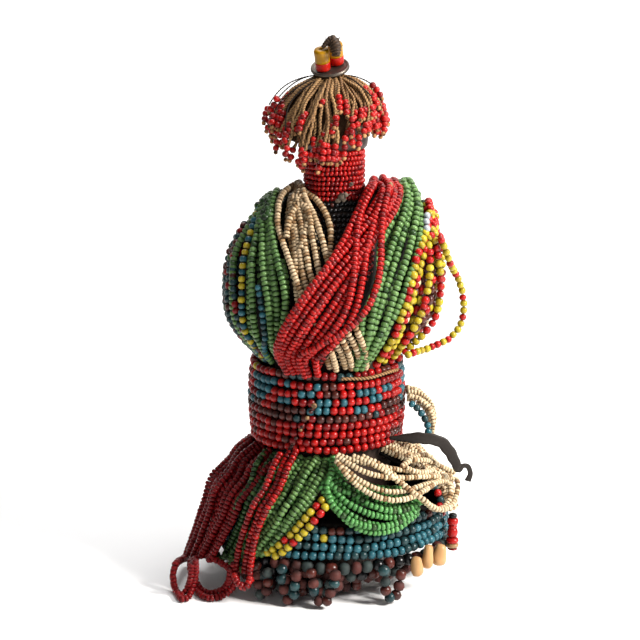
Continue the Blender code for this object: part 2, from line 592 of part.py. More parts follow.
def build_hair(materials):
    """The mop of hair cords as one ribbed shell over the head, with ragged tips."""
    columns = 2 * HAIR_CORDS
    bm = bmesh.new()

    def grid(count, depth):
        rows = []
        for k in range(1, HAIR_STATIONS + 1):
            row = []
            for j in range(count):
                angle = 2 * math.pi * j / count - math.pi
                share = k / HAIR_STATIONS
                rib = 0.0 if depth or j % 2 else 0.0009
                point = hair_point(angle, share, depth + rib)
                if k == HAIR_STATIONS and not depth and j % 2:
                    point.z -= 0.0022 if j % 4 == 1 else 0.0004
                row.append(bm.verts.new(point))
            rows.append(row)
        return rows

    outside = grid(columns, 0.0)
    inside = grid(HAIR_CORDS, HAIR_THICKNESS)
    crown = bm.verts.new(hair_point(0.0, 0.0, 0.0))
    under = bm.verts.new(hair_point(0.0, 0.0, HAIR_THICKNESS))
    for rows, apex in ((outside, crown), (inside, under)):
        count = len(rows[0])
        for j in range(count):
            after = (j + 1) % count
            bm.faces.new((apex, rows[0][j], rows[0][after]))
            for k in range(HAIR_STATIONS - 1):
                bm.faces.new((rows[k][j], rows[k + 1][j], rows[k + 1][after], rows[k][after]))
    for j in range(HAIR_CORDS):
        first, middle, last = outside[-1][2 * j], outside[-1][2 * j + 1], outside[-1][(2 * j + 2) % columns]
        low, after = inside[-1][j], inside[-1][(j + 1) % HAIR_CORDS]
        bm.faces.new((first, middle, low))
        bm.faces.new((middle, after, low))
        bm.faces.new((middle, last, after))
    bmesh.ops.recalc_face_normals(bm, faces=bm.faces)
    mesh = bpy.data.meshes.new("hair_cords")
    bm.to_mesh(mesh)
    bm.free()
    add_mesh("hair_cords", mesh, materials["cord"])


def build_crown(materials):
    """A dished disc on the hair, two tall beads that stand on it and the fibre tied through them.

    All of it leans towards the front and a little to the left."""
    lean = (Matrix.Rotation(math.radians(CROWN_LEAN), 4, "X")
            @ Matrix.Rotation(math.radians(-CROWN_ROLL), 4, "Y"))
    half = 0.5 * DISC_THICKNESS
    floor = 0.1 * DISC_THICKNESS
    dish = [
        (0.0, floor),
        (0.84 * DISC_RADIUS, floor),
        (0.93 * DISC_RADIUS, half),
        (DISC_RADIUS, 0.6 * half),
        (DISC_RADIUS, -0.5 * half),
        (0.85 * DISC_RADIUS, -half),
        (0.0, -half),
    ]
    disc = turned("crown_disc", dish, materials["metal"], steps=BELT_STEPS)
    disc.matrix_world = Matrix.Translation(DISC_CENTRE) @ lean
    edge = 0.12 * CROWN_BEAD_RADIUS
    bead = [
        (CROWN_BEAD_BORE, CROWN_BEAD_HEIGHT),
        (CROWN_BEAD_RADIUS - edge, CROWN_BEAD_HEIGHT),
        (CROWN_BEAD_RADIUS, CROWN_BEAD_HEIGHT - edge),
        (CROWN_BEAD_RADIUS, edge),
        (CROWN_BEAD_RADIUS - edge, 0.0),
        (CROWN_BEAD_BORE, 0.0),
    ]
    apart = 1.1 * CROWN_BEAD_RADIUS
    for name, side in (("left_crown_bead", -1), ("right_crown_bead", 1)):
        stand = turned(name, bead, materials["yellow"], steps=14)
        seat = Vector((side * 0.8 * apart, side * 0.62 * apart, floor + CLEAR))
        stand.matrix_world = Matrix.Translation(Vector(DISC_CENTRE) + lean @ seat) @ lean
    tube("crown_fibre", moved(CROWN_FIBRE, *DISC_CENTRE), materials["cord"])


def moved(path, x, y, z):
    """A path's points, moved as a whole. What follows x, y and z in a point stays as it is."""
    return [(point[0] + x, point[1] + y, point[2] + z, *point[3:]) for point in path]


def tube(name, path, material, radius=None):
    """A round cord along a path of (x, y, z, radius), or of (x, y, z) with one radius for all of it."""
    line = [(Vector(knot[:3]), radius or knot[3]) for knot in path]
    return beaded_tube(name, line, 2.0, material)


def along_path(path):
    """A function of way, from 0 to 1, that runs smoothly through a path's points."""
    lengths = [0.0]
    for before, after in zip(path, path[1:]):
        lengths.append(lengths[-1] + (Vector(after) - Vector(before)).length)
    knots = [length / lengths[-1] for length in lengths]

    def at(way):
        return Vector([smooth_through(knots, [point[i] for point in path], way) for i in range(len(path[0]))])

    return at, lengths[-1]


def strung(name, path, bead, material, group=1):
    """Beads strung along a path as one solid, group beads to each bulge."""
    at, length = along_path(path)
    bulges = max(1, round(length / (bead * group)))
    return beaded_tube(name, bead_line(at, bulges, 0.7), bead, material)


def build_side_pieces(materials):
    """What hangs loose on the right-hand side: loops, a strap of leather and pendants."""
    beside_belt = (BELT_RADIUS + BELT_SHIFT, 0.0, SKIRT_HEIGHT)
    at, length = along_path(SIDE_LOOP)
    depth = 1.2 * SEED

    def out_from(way):
        ahead = at(min(way + 0.02, 1.0)) - at(max(way - 0.02, 0.0))
        return Vector((-ahead[1], ahead[0])).normalized()

    def side_place(across, way, back):
        place = at(way) + out_from(way) * back
        return Vector((beside_belt[0] + place[0], SIDE_LOOP_FRONT + SIDE_LOOP_WIDTH * across,
                       beside_belt[2] + place[1]))

    def outer(across, way, rib):
        return side_place(across, way, (rib - 1) * 0.32 * SEED)

    def inner(across, way):
        return side_place(across, way, -depth)

    hank("white_side_loops", outer, inner, 6, 4, materials["white"], inner_columns=3)
    strung("mixed_side_strand", moved(SIDE_STRAND, *beside_belt), STRAND_BEAD, materials["yellow"])
    loose = moved(LOOSE_LOOP, TORSO_HALF_WIDTH, 0.0, BELT_TOP)
    strung("loose_bead_loop", loose, STRAND_BEAD, materials["yellow"], group=2)

    strap = tube("leather_strap", moved(LEATHER, *beside_belt), materials["leather"])
    strap.data.extrude = 2.0
    for point in strap.data.splines[0].points:
        point.tilt = math.pi / 2

    outline = ((0.0, 1.0), (0.6, 0.95), (0.85, 0.6), (1.0, 0.0), (0.95, -0.5), (0.62, -0.92), (0.0, -1.0))
    for number, (degrees, above, radius, half, lean) in enumerate(SHELLS, 1):
        profile = [(radius * wide, half * height) for wide, height in outline]
        shell = turned(f"shell_pendant_{number}", profile, materials["shell"], steps=8)
        angle = math.radians(degrees)
        place = hem_ring(angle, PENDANT_SEAT * HEM_BEAD + radius + CLEAR) + Vector((0.0, 0.0, above))
        outward = Vector((math.sin(angle), -math.cos(angle), 0.0))
        shell.matrix_world = Matrix.Translation(place) @ Matrix.Rotation(math.radians(lean), 4, outward)

    out = PENDANT_SEAT * HEM_BEAD + 0.5 * RED_PENDANT_BEAD + CLEAR
    pendant_foot = hem_ring(math.radians(RED_PENDANT_ANGLE), out)
    pendant_foot.z -= RED_PENDANT_DROP
    pendant_top = Vector((pendant_foot.x, pendant_foot.y, RED_PENDANT_TOP * SKIRT_HEIGHT))
    strung("red_pendant", (tuple(pendant_top), tuple(pendant_foot)), RED_PENDANT_BEAD, materials["red"])

    reach = BELT_RADIUS + WAIST_CORD_RADIUS + CLEAR + 0.3 * BELT_BULGE
    cord = [(reach * math.sin(math.radians(angle)) + BELT_SHIFT, -reach * math.cos(math.radians(angle)),
             BELT_TOP - 0.5 * BELT_PITCH) for angle in WAIST_CORD_ANGLES]
    tube("waist_cord", cord, materials["cord"], radius=WAIST_CORD_RADIUS)


def main():
    clear_scene()
    make_collection()
    materials = {
        "wood": make_material("dark wood", (0.06, 0.045, 0.035), 0.6),
        "red": make_material("red glass", (0.55, 0.02, 0.02)),
        "green": make_material("green glass", (0.10, 0.38, 0.11)),
        "white": make_material("white glass", (0.68, 0.52, 0.36)),
        "yellow": make_material("yellow glass", (0.55, 0.50, 0.04)),
        "teal": make_material("teal glass", (0.03, 0.17, 0.24)),
        "dark": make_material("dark glass", (0.03, 0.07, 0.07)),
        "black": make_material("black glass", (0.01, 0.012, 0.016)),
        "cord": make_material("twisted fibre", (0.32, 0.19, 0.08), 0.85),
        "leather": make_material("old leather", (0.07, 0.055, 0.045), 0.6),
        "metal": make_material("dark metal", (0.05, 0.045, 0.04), 0.45, 1.0),
        "shell": make_material("tan shell", (0.60, 0.38, 0.18), 0.45),
    }
    build_figure(materials)
    build_neck(materials)
    build_belt(materials)
    build_torso(materials)
    build_skirt(materials)
    build_hem(materials)
    build_hair(materials)
    build_crown(materials)
    build_side_pieces(materials)


main()
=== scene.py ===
import math

import bpy
import numpy as np
from mathutils import Matrix, Vector


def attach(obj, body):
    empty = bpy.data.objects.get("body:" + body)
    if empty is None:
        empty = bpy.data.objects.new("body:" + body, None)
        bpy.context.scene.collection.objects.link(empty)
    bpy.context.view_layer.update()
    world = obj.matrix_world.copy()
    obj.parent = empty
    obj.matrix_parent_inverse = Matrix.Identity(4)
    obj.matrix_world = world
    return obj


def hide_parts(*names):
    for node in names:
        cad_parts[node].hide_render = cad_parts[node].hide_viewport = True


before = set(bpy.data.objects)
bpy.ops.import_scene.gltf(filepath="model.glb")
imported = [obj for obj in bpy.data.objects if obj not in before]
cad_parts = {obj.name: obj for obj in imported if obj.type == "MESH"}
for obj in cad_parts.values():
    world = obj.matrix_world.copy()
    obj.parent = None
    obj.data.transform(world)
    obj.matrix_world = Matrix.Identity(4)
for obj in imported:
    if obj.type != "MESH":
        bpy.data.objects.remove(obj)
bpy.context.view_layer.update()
bpy.context.scene.view_settings.view_transform = "Standard"
print("frame loaded:", len(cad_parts), "nodes")


# camera, light and floor
cameraValues = {"place": (-0.0077, -0.85, 0.33), "lookDown": 12.32, "lens": 88.7}
cameraData = bpy.data.cameras.new("photoCamera")
cameraData.lens = cameraValues["lens"]
cameraObject = bpy.data.objects.new("photoCamera", cameraData)
cameraObject.location = cameraValues["place"]
cameraObject.rotation_euler = (math.radians(90 - cameraValues["lookDown"]), 0, 0)
bpy.context.scene.collection.objects.link(cameraObject)
bpy.context.scene.camera = cameraObject

lightValues = {
    "key": {"place": (0.92, -0.46, 0.74), "size": 0.30, "power": 31.0, "colour": (1.0, 0.97, 0.93)},
    "top": {"place": (0.25, 0.10, 1.15), "size": 0.60, "power": 6.0, "colour": (1.0, 1.0, 1.0)},
    "front": {"place": (-0.30, -1.20, 0.55), "size": 0.70, "power": 1.0, "colour": (0.94, 0.97, 1.0)},
    "backdrop": {"place": (0.0, 0.30, 1.60), "size": 0.80, "power": 14.0, "colour": (1.0, 1.0, 1.0),
                 "aim": (0.0, 1.0, 0.1)},
}
for lightName, values in lightValues.items():
    lamp = bpy.data.lights.new(lightName + "Light", "AREA")
    lamp.size = values["size"]
    lamp.energy = values["power"]
    lamp.color = values["colour"]
    lampObject = bpy.data.objects.new(lightName + "Light", lamp)
    lampObject.location = values["place"]
    aim = Vector(values.get("aim", (0.0, 0.0, 0.14))) - Vector(values["place"])
    lampObject.rotation_euler = aim.to_track_quat("-Z", "Y").to_euler()
    bpy.context.scene.collection.objects.link(lampObject)

worldValues = {"colour": (1.0, 1.0, 1.0, 1.0), "strength": 0.10}
world = bpy.data.worlds.new("studioWorld")
world.use_nodes = True
background = world.node_tree.nodes["Background"]
background.inputs["Color"].default_value = worldValues["colour"]
background.inputs["Strength"].default_value = worldValues["strength"]
bpy.context.scene.world = world


# shader helpers and shared groups
def fromScreen(red, green, blue):  # screen values 0-255 to a linear colour
    def one(value):
        value = value / 255
        return value / 12.92 if value <= 0.04045 else ((value + 0.055) / 1.055) ** 2.4

    return (one(red), one(green), one(blue), 1.0)


def addNode(tree, kind, settings=None, inputs=None):
    node = tree.nodes.new(kind)
    for key, value in (settings or {}).items():
        setattr(node, key, value)
    for key, value in (inputs or {}).items():
        node.inputs[key].default_value = value
    return node


def mixColours(tree, factor, first, second):
    node = addNode(tree, "ShaderNodeMix", {"data_type": "RGBA"})
    for socket, value in ((node.inputs[0], factor), (node.inputs[6], first), (node.inputs[7], second)):
        if isinstance(value, bpy.types.NodeSocket):
            tree.links.new(value, socket)
        else:
            socket.default_value = value
    return node.outputs[2]


def newGroup(name, inputs, outputs):
    tree = bpy.data.node_groups.new(name, "ShaderNodeTree")
    for socketName, kind, value in inputs:
        socket = tree.interface.new_socket(name=socketName, in_out="INPUT", socket_type=kind)
        socket.default_value = value
    for socketName, kind in outputs:
        tree.interface.new_socket(name=socketName, in_out="OUTPUT", socket_type=kind)
    return tree, tree.nodes.new("NodeGroupInput"), tree.nodes.new("NodeGroupOutput")


def buildPatina():
    # grime in patches over the whole doll, plus darkening at the bead ends and in the grooves of plied cords
    # that is painted shade between the parts as well as grime
    values = {"patchFrom": 0.45, "patchFull": 0.75, "patchShare": 0.35, "endGrimeAndShadeShare": 1.7}
    tree, given, result = newGroup(
        "patina",
        [("Light Colour", "NodeSocketColor", (0.5, 0.5, 0.5, 1)),
         ("Deep Colour", "NodeSocketColor", (0.2, 0.2, 0.2, 1)),
         ("Grime And Shade Colour", "NodeSocketColor", (0.03, 0.02, 0.012, 1)), ("Grime And Shade Amount", "NodeSocketFloat", 0.4),
         ("Patch Scale", "NodeSocketFloat", 55.0), ("Grain Scale", "NodeSocketFloat", 1400.0)],
        [("Colour", "NodeSocketColor"), ("Grime And Shade", "NodeSocketFloat"), ("Grain", "NodeSocketFloat")])
    place = addNode(tree, "ShaderNodeTexCoord")
    tone = addNode(tree, "ShaderNodeAttribute", {"attribute_name": "beadTone"})
    ends = addNode(tree, "ShaderNodeAttribute", {"attribute_name": "beadEndGrimeAndShade"})
    patches = addNode(tree, "ShaderNodeTexNoise", None, {"Detail": 3.0, "Roughness": 0.6})
    grain = addNode(tree, "ShaderNodeTexNoise", None, {"Detail": 2.0, "Roughness": 0.5})
    tree.links.new(place.outputs["Object"], patches.inputs["Vector"])
    tree.links.new(place.outputs["Object"], grain.inputs["Vector"])
    tree.links.new(given.outputs["Patch Scale"], patches.inputs["Scale"])
    tree.links.new(given.outputs["Grain Scale"], grain.inputs["Scale"])
    spread = addNode(tree, "ShaderNodeMapRange", None, {
        "From Min": values["patchFrom"], "From Max": values["patchFull"], "To Max": values["patchShare"]})
    tree.links.new(patches.outputs["Fac"], spread.inputs["Value"])
    # the bead ends and ply grooves are darkened here: painted shade between neighbouring beads and plies,
    # with some grime
    endGrimeAndShade = addNode(tree, "ShaderNodeMath", {"operation": "MULTIPLY"}, {1: values["endGrimeAndShadeShare"]})
    tree.links.new(ends.outputs["Fac"], endGrimeAndShade.inputs[0])
    both = addNode(tree, "ShaderNodeMath", {"operation": "ADD"})
    tree.links.new(spread.outputs["Result"], both.inputs[0])
    tree.links.new(endGrimeAndShade.outputs[0], both.inputs[1])
    amount = addNode(tree, "ShaderNodeMath", {"operation": "MULTIPLY", "use_clamp": True})
    tree.links.new(both.outputs[0], amount.inputs[0])
    tree.links.new(given.outputs["Grime And Shade Amount"], amount.inputs[1])
    glass = mixColours(tree, tone.outputs["Fac"], given.outputs["Deep Colour"], given.outputs["Light Colour"])
    grimedAndShaded = mixColours(tree, amount.outputs[0], glass, given.outputs["Grime And Shade Colour"])
    tree.links.new(grimedAndShaded, result.inputs["Colour"])
    tree.links.new(amount.outputs[0], result.inputs["Grime And Shade"])
    tree.links.new(grain.outputs["Fac"], result.inputs["Grain"])
    return tree


patina = buildPatina()


# the dirt colour and amount darken both grime patches and, at the bead ends and ply grooves, painted shade
usualFinish = {"grimeAndShade": (38, 28, 22), "grimeAndShadeAmount": 0.5, "patchScale": 55.0, "grainScale": 1400.0,
               "rough": 0.28, "wear": 0.2, "bump": 0.12, "bumpDepth": 0.0002, "metal": 0.0, "coat": 0.0,
               "coatRough": 0.15, "specular": 0.22}


def finishWithPatina(name, values):
    values = {**usualFinish, **values}
    material = bpy.data.materials.new(name)
    material.use_nodes = True
    tree = material.node_tree
    shader = tree.nodes["Principled BSDF"]
    group = addNode(tree, "ShaderNodeGroup", {"node_tree": patina})
    for socket, key in (("Light Colour", "light"), ("Deep Colour", "deep"), ("Grime And Shade Colour", "grimeAndShade")):
        group.inputs[socket].default_value = fromScreen(*values[key])
    for socket, key in (("Grime And Shade Amount", "grimeAndShadeAmount"), ("Patch Scale", "patchScale"),
                        ("Grain Scale", "grainScale")):
        group.inputs[socket].default_value = values[key]
    rough = values["rough"]
    worn = addNode(tree, "ShaderNodeMapRange", None,
                   {"To Min": rough, "To Max": min(rough + values["wear"], 1.0)})
    tree.links.new(group.outputs["Grime And Shade"], worn.inputs["Value"])
    bump = addNode(tree, "ShaderNodeBump", None,
                   {"Strength": values["bump"], "Distance": values["bumpDepth"]})
    tree.links.new(group.outputs["Grain"], bump.inputs["Height"])
    tree.links.new(group.outputs["Colour"], shader.inputs["Base Color"])
    tree.links.new(worn.outputs["Result"], shader.inputs["Roughness"])
    tree.links.new(bump.outputs["Normal"], shader.inputs["Normal"])
    for socket, key in (("Metallic", "metal"), ("Coat Weight", "coat"), ("Coat Roughness", "coatRough"),
                        ("Specular IOR Level", "specular")):
        shader.inputs[socket].default_value = values[key]
    return material


finishValues = {
    "redGlass": {"light": (176, 18, 13), "deep": (144, 12, 11), "grimeAndShade": (92, 8, 8), "grimeAndShadeAmount": 0.45,
                 "coat": 0.18},
    "deepRedGlass": {"light": (130, 13, 14), "deep": (102, 9, 11), "grimeAndShade": (66, 5, 7), "grimeAndShadeAmount": 0.45,
                     "coat": 0.14},
    "wineGlass": {"light": (124, 9, 13), "deep": (100, 7, 11), "grimeAndShade": (62, 4, 8), "grimeAndShadeAmount": 0.45,
                  "coat": 0.08, "specular": 0.14, "rough": 0.34},
    "greenGlass": {"light": (106, 140, 80), "deep": (74, 108, 56), "grimeAndShade": (24, 44, 20), "coat": 0.15},
    "deepGreenGlass": {"light": (58, 90, 44), "deep": (38, 64, 30), "grimeAndShade": (12, 22, 10), "coat": 0.15},
    "ivoryGlass": {"light": (222, 206, 172), "deep": (196, 170, 132), "grimeAndShade": (92, 62, 38), "coat": 0.12},
    "shoulderIvory": {"light": (214, 192, 158), "deep": (170, 142, 106), "grimeAndShade": (84, 58, 36),
                      "coat": 0.1},
    "swagGreen": {"light": (96, 158, 88), "deep": (70, 128, 62), "grimeAndShade": (20, 44, 20), "coat": 0.15},
    "tanGlass": {"light": (168, 134, 94), "deep": (126, 94, 62), "grimeAndShade": (60, 40, 24), "coat": 0.12},
    "yellowGlass": {"light": (190, 172, 40), "deep": (150, 128, 26), "grimeAndShade": (84, 66, 16),
                    "grimeAndShadeAmount": 0.45, "coat": 0.18},
    "blueGlass": {"light": (52, 108, 120), "deep": (28, 72, 82), "grimeAndShade": (10, 26, 30), "grimeAndShadeAmount": 0.45,
                  "coat": 0.18},
    "tealGlass": {"light": (42, 72, 74), "deep": (22, 44, 48), "grimeAndShade": (10, 16, 18), "grimeAndShadeAmount": 0.45,
                  "coat": 0.15},
    "brownGlass": {"light": (92, 40, 32), "deep": (52, 24, 20), "grimeAndShade": (16, 8, 8), "grimeAndShadeAmount": 0.45,
                   "coat": 0.15},
    "blackGlass": {"light": (14, 14, 16), "deep": (6, 6, 8), "grimeAndShade": (8, 7, 6), "grimeAndShadeAmount": 0.25,
                   "coat": 0.2},
    "greyGlass": {"light": (184, 190, 196), "deep": (120, 126, 136), "grimeAndShade": (60, 56, 52),
                  "grimeAndShadeAmount": 0.3, "coat": 0.6},
    "dullTealGlass": {"light": (64, 74, 72), "deep": (34, 44, 44), "grimeAndShade": (24, 16, 14),
                      "grimeAndShadeAmount": 0.45, "rough": 0.62, "bump": 0.35, "grainScale": 700.0},
    "dullRedGlass": {"light": (98, 50, 44), "deep": (56, 30, 28), "grimeAndShade": (22, 14, 14),
                     "grimeAndShadeAmount": 0.45, "rough": 0.62, "bump": 0.35, "grainScale": 700.0},
    # darker than the cords: painted shade for the cap under them
    "hairUnderShade": {"light": (88, 60, 34), "deep": (44, 30, 18), "grimeAndShadeAmount": 0.4, "rough": 0.8,
                  "bump": 0.6, "grainScale": 1200.0},
    # near black: the dark stray hair cords, and the linings and rings behind beads as painted shade in the
    # gaps
    "darkFibreAndShadeBacking": {"light": (24, 19, 16), "deep": (10, 8, 7), "grimeAndShadeAmount": 0.4, "specular": 0.2,
                  "rough": 0.8, "bump": 0.5, "grainScale": 900.0},
    "twistedFibre": {"light": (196, 152, 98), "deep": (134, 92, 52), "grimeAndShade": (50, 30, 16),
                     "grimeAndShadeAmount": 0.6, "specular": 0.35, "rough": 0.62, "bump": 0.5,
                     "grainScale": 2200.0},
    "greyThread": {"light": (140, 126, 110), "deep": (84, 74, 64), "grimeAndShade": (36, 30, 26), "rough": 0.8,
                   "bump": 0.6, "grainScale": 1800.0},
    "knotFibre": {"light": (196, 146, 98), "deep": (130, 88, 54), "grimeAndShade": (60, 38, 24), "grimeAndShadeAmount": 0.6,
                  "rough": 0.8, "bump": 0.6, "grainScale": 1800.0},
    "darkWood": {"light": (70, 54, 46), "deep": (36, 28, 25), "grimeAndShade": (18, 14, 12), "rough": 0.5,
                 "bump": 0.4, "grainScale": 300.0},
    "darkMetal": {"light": (120, 110, 100), "deep": (66, 60, 54), "grimeAndShade": (40, 34, 30), "rough": 0.38,
                  "metal": 0.85, "bump": 0.3, "grainScale": 500.0},
    "oldLeather": {"light": (48, 41, 36), "deep": (26, 22, 20), "grimeAndShade": (28, 22, 20), "rough": 0.5,
                   "bump": 0.5, "grainScale": 900.0},
    "tanShell": {"light": (204, 162, 112), "deep": (150, 108, 68), "grimeAndShade": (66, 40, 22),
                 "grimeAndShadeAmount": 0.6, "rough": 0.35, "bump": 0.3, "grainScale": 600.0},
    "crownYellow": {"light": (182, 134, 4), "deep": (136, 92, 3), "grimeAndShade": (60, 36, 6), "grimeAndShadeAmount": 0.4,
                    "coat": 0.05},
    "crownRed": {"light": (178, 16, 2), "deep": (132, 10, 2), "grimeAndShade": (50, 6, 2), "grimeAndShadeAmount": 0.3,
                 "coat": 0.05},
    "darkResin": {"light": (84, 60, 38), "deep": (36, 25, 17), "rough": 0.36, "bump": 0.9,
                  "grainScale": 420.0},
}
finishes = {name: finishWithPatina(name, values) for name, values in finishValues.items()}
print("finishes made:", len(finishes))


# the pale studio sweep
def buildSweep():
    values = {"front": -1.6, "back": 1.3, "halfWidth": 2.4, "height": 2.2, "curve": 0.7, "steps": 12,
              "shade": (0.94, 0.94, 0.94, 1.0), "rough": 0.9}
    profile = [(values["front"], 0.0)]
    for k in range(values["steps"] + 1):
        turn = math.pi / 2 * k / values["steps"]
        profile.append((values["back"] - values["curve"] + values["curve"] * math.sin(turn),
                        values["curve"] - values["curve"] * math.cos(turn)))
    profile.append((values["back"], values["height"]))
    verts = [(side * values["halfWidth"], y, z) for y, z in profile for side in (-1, 1)]
    faces = [(2 * i, 2 * i + 1, 2 * i + 3, 2 * i + 2) for i in range(len(profile) - 1)]
    mesh = bpy.data.meshes.new("studioSweep")
    mesh.from_pydata(verts, [], faces)
    mesh.shade_smooth()
    sweep = bpy.data.objects.new("studioSweep", mesh)
    bpy.context.scene.collection.objects.link(sweep)
    material = bpy.data.materials.new("paleSweep")
    material.use_nodes = True
    shader = material.node_tree.nodes["Principled BSDF"]
    shader.inputs["Base Color"].default_value = values["shade"]
    shader.inputs["Roughness"].default_value = values["rough"]
    mesh.materials.append(material)


buildSweep()


# the doll's sizes, as in its solids
clear = 0.0003
hiddenGap = 0.0008
seed = 0.0033
neckBead = 0.0025
neckRow, neckRows, collarRows = 0.00265, 10, 8
beltBead = 0.0044
hemBead = 0.0066
loopBead = 0.0058
skirtBead = 0.0050
skirtHeight = 0.0796
beltRows = 10
beltTop = skirtHeight + beltRows * beltBead
torsoHeight = 0.0889
neckBase = beltTop + torsoHeight
headBase = neckBase + neckRows * neckRow
headHeight = 0.034
headTop = headBase + headHeight
neckRadius = 0.0168
neckInner = neckRadius - neckBead
beltRadius = 0.0424
beltInner = beltRadius - beltBead
beltBulge = 0.0016
beltShift = -0.0040
shoulderRadius = 0.030
collarTop = neckBase - clear
collarBase = collarTop - collarRows * neckRow
bodyRadius = 0.033
footRadius = 0.027
headRadius = 0.0185
torsoHalfWidth, torsoHalfDepth = 0.062, 0.050
skirtHalfWidth, skirtHalfDepth = 0.067, 0.060
hemHeight = 0.0215
skirtRows = 4
skirtRowsTop = hemHeight + 0.5 * hemBead + clear + skirtRows * skirtBead
skirtStretch = 67 / 60  # half width to half depth

torsoKnots = (0.0, 0.1, 0.2, 0.3, 0.5, 0.75, 1.0)
torsoLeft = (0.45, 0.60, 0.75, 0.96, 0.97)
torsoRight = (0.55, 0.72, 0.85, 1.00, 0.97)
torsoDepth = (0.47, 0.59, 0.71, 0.91, 0.98)
torsoDrops = {
    "left": (-0.11, -0.08, -0.025, 0.09, 0.36, 0.72, 1.0),
    "right": (-0.13, -0.13, -0.105, 0.012, 0.30, 0.72, 1.0),
    "front": (-0.015, 0.035, 0.115, 0.205, 0.45, 0.75, 1.0),
    "back": (-0.045, 0.0, 0.07, 0.17, 0.43, 0.75, 1.0),
}
skirtKnots = (0.0, 0.12, 0.32, 0.52, 0.75, 1.0)
skirtSide = (0.80, 0.93, 0.985, 1.0, 1.0)
skirtDepth = (0.83, 0.92, 0.965, 1.0, 1.0)


def beltCrest(height):
    return beltRadius + beltBulge * np.sin(math.pi * (beltTop - height) / (beltTop - skirtHeight))


def smoothThrough(knots, values, at):
    knots, values, at = np.asarray(knots, float), np.asarray(values, float), np.asarray(at, float)
    slopes = (values[np.minimum(np.arange(len(knots)) + 1, len(knots) - 1)]
              - values[np.maximum(np.arange(len(knots)) - 1, 0)])
    spans = (knots[np.minimum(np.arange(len(knots)) + 1, len(knots) - 1)]
             - knots[np.maximum(np.arange(len(knots)) - 1, 0)])
    slopes = slopes / (spans if values.ndim == 1 else spans[:, None])
    i = np.clip(np.searchsorted(knots, at, side="left") - 1, 0, len(knots) - 2)
    span = knots[i + 1] - knots[i]
    x = (at - knots[i]) / span
    if values.ndim > 1:
        span, x = span[..., None], x[..., None]
    left, right = slopes[i] * span, slopes[i + 1] * span
    rise = values[i + 1] - values[i]
    return values[i] + x * (left + x * (3 * rise - 2 * left - right + x * (left + right - 2 * rise)))


def torsoRadii(shares, half):
    return [neckRadius + 0.8 * seed] + [share * half for share in shares] + [beltInner + 0.6 * seed]


def torsoPoint(angle, along):
    angle, along = np.broadcast_arrays(np.asarray(angle, float), np.asarray(along, float))
    side = np.sin(angle) ** 2
    right = np.sin(angle) > 0
    width = np.where(right, smoothThrough(torsoKnots, torsoRadii(torsoRight, torsoHalfWidth), along),
                     smoothThrough(torsoKnots, torsoRadii(torsoLeft, torsoHalfWidth), along))
    depth = smoothThrough(torsoKnots, torsoRadii(torsoDepth, torsoHalfDepth), along)
    drops = {key: smoothThrough(torsoKnots, values, along) for key, values in torsoDrops.items()}
    drop = (side * np.where(right, drops["right"], drops["left"])
            + (1 - side) * np.where(np.cos(angle) > 0, drops["front"], drops["back"]))
    shift = beltShift * 0.5 * np.maximum(0.0, along - 0.6) / 0.4
    return np.stack([width * np.sin(angle) + shift, -depth * np.cos(angle),
                     neckBase - drop * (torsoHeight - clear)], -1)


def skirtPoint(angle, along):
    angle, along = np.broadcast_arrays(np.asarray(angle, float), np.asarray(along, float))
    top = beltInner + 0.3 * seed
    width = smoothThrough(skirtKnots, [top] + [share * skirtHalfWidth for share in skirtSide], along)
    depth = smoothThrough(skirtKnots, [top] + [share * skirtHalfDepth for share in skirtDepth], along)
    shift = beltShift * np.maximum(0.0, 1 - along / 0.5)
    height = (skirtHeight - clear) * (1 - along) + clear * along
    return np.stack([width * np.sin(angle) + shift, -depth * np.cos(angle), height], -1)


def normalised(vectors):
    return vectors / np.maximum(np.linalg.norm(vectors, axis=-1, keepdims=True), 1e-12)


def lifted(surface, angle, along, lift):
    angle, along = np.broadcast_arrays(np.asarray(angle, float), np.asarray(along, float))
    down = surface(angle, np.minimum(along + 0.02, 1.0)) - surface(angle, np.maximum(along - 0.02, 0.0))
    across = surface(angle + 0.02, along) - surface(angle - 0.02, along)
    out = normalised(np.cross(down, across))
    return surface(angle, along) + out * np.asarray(lift, float)[..., None]


def edgeAt(edge, share):
    knots = np.linspace(0.0, 1.0, len(edge))
    angle = smoothThrough(knots, [math.radians(knot[0]) for knot in edge], share)
    along = smoothThrough(knots, [knot[1] for knot in edge], share)
    return angle, np.clip(along, 0.0, 1.0)


def between(first, second, across, way):
    angleA, alongA = edgeAt(first, way)
    angleB, alongB = edgeAt(second, way)
    return angleA + (angleB - angleA) * across, alongA + (alongB - alongA) * across


def pathThrough(points, count):
    points = np.asarray(points, float)
    lengths = np.concatenate([[0.0], np.cumsum(np.linalg.norm(np.diff(points[:, :3], axis=0), axis=1))])
    return smoothThrough(lengths / lengths[-1], points, np.linspace(0.0, 1.0, count))


# strands laid where the photograph shows them
lookDown = math.radians(cameraValues["lookDown"])
photoSide = 640
middle = 0.5 * photoSide
focal = cameraValues["lens"] / 36 * photoSide  # in pixels, for a film 36 mm wide
goldenShare = 0.618  # strands piled by this share never fall into a pattern


def seenAt(points):
    # where points fall in the photograph, and how far away they are
    x, y, z = [points[..., i] - cameraValues["place"][i] for i in range(3)]
    depth = y * math.cos(lookDown) - z * math.sin(lookDown)
    rise = y * math.sin(lookDown) + z * math.cos(lookDown)
    return middle + focal * x / depth, middle - focal * rise / depth, depth


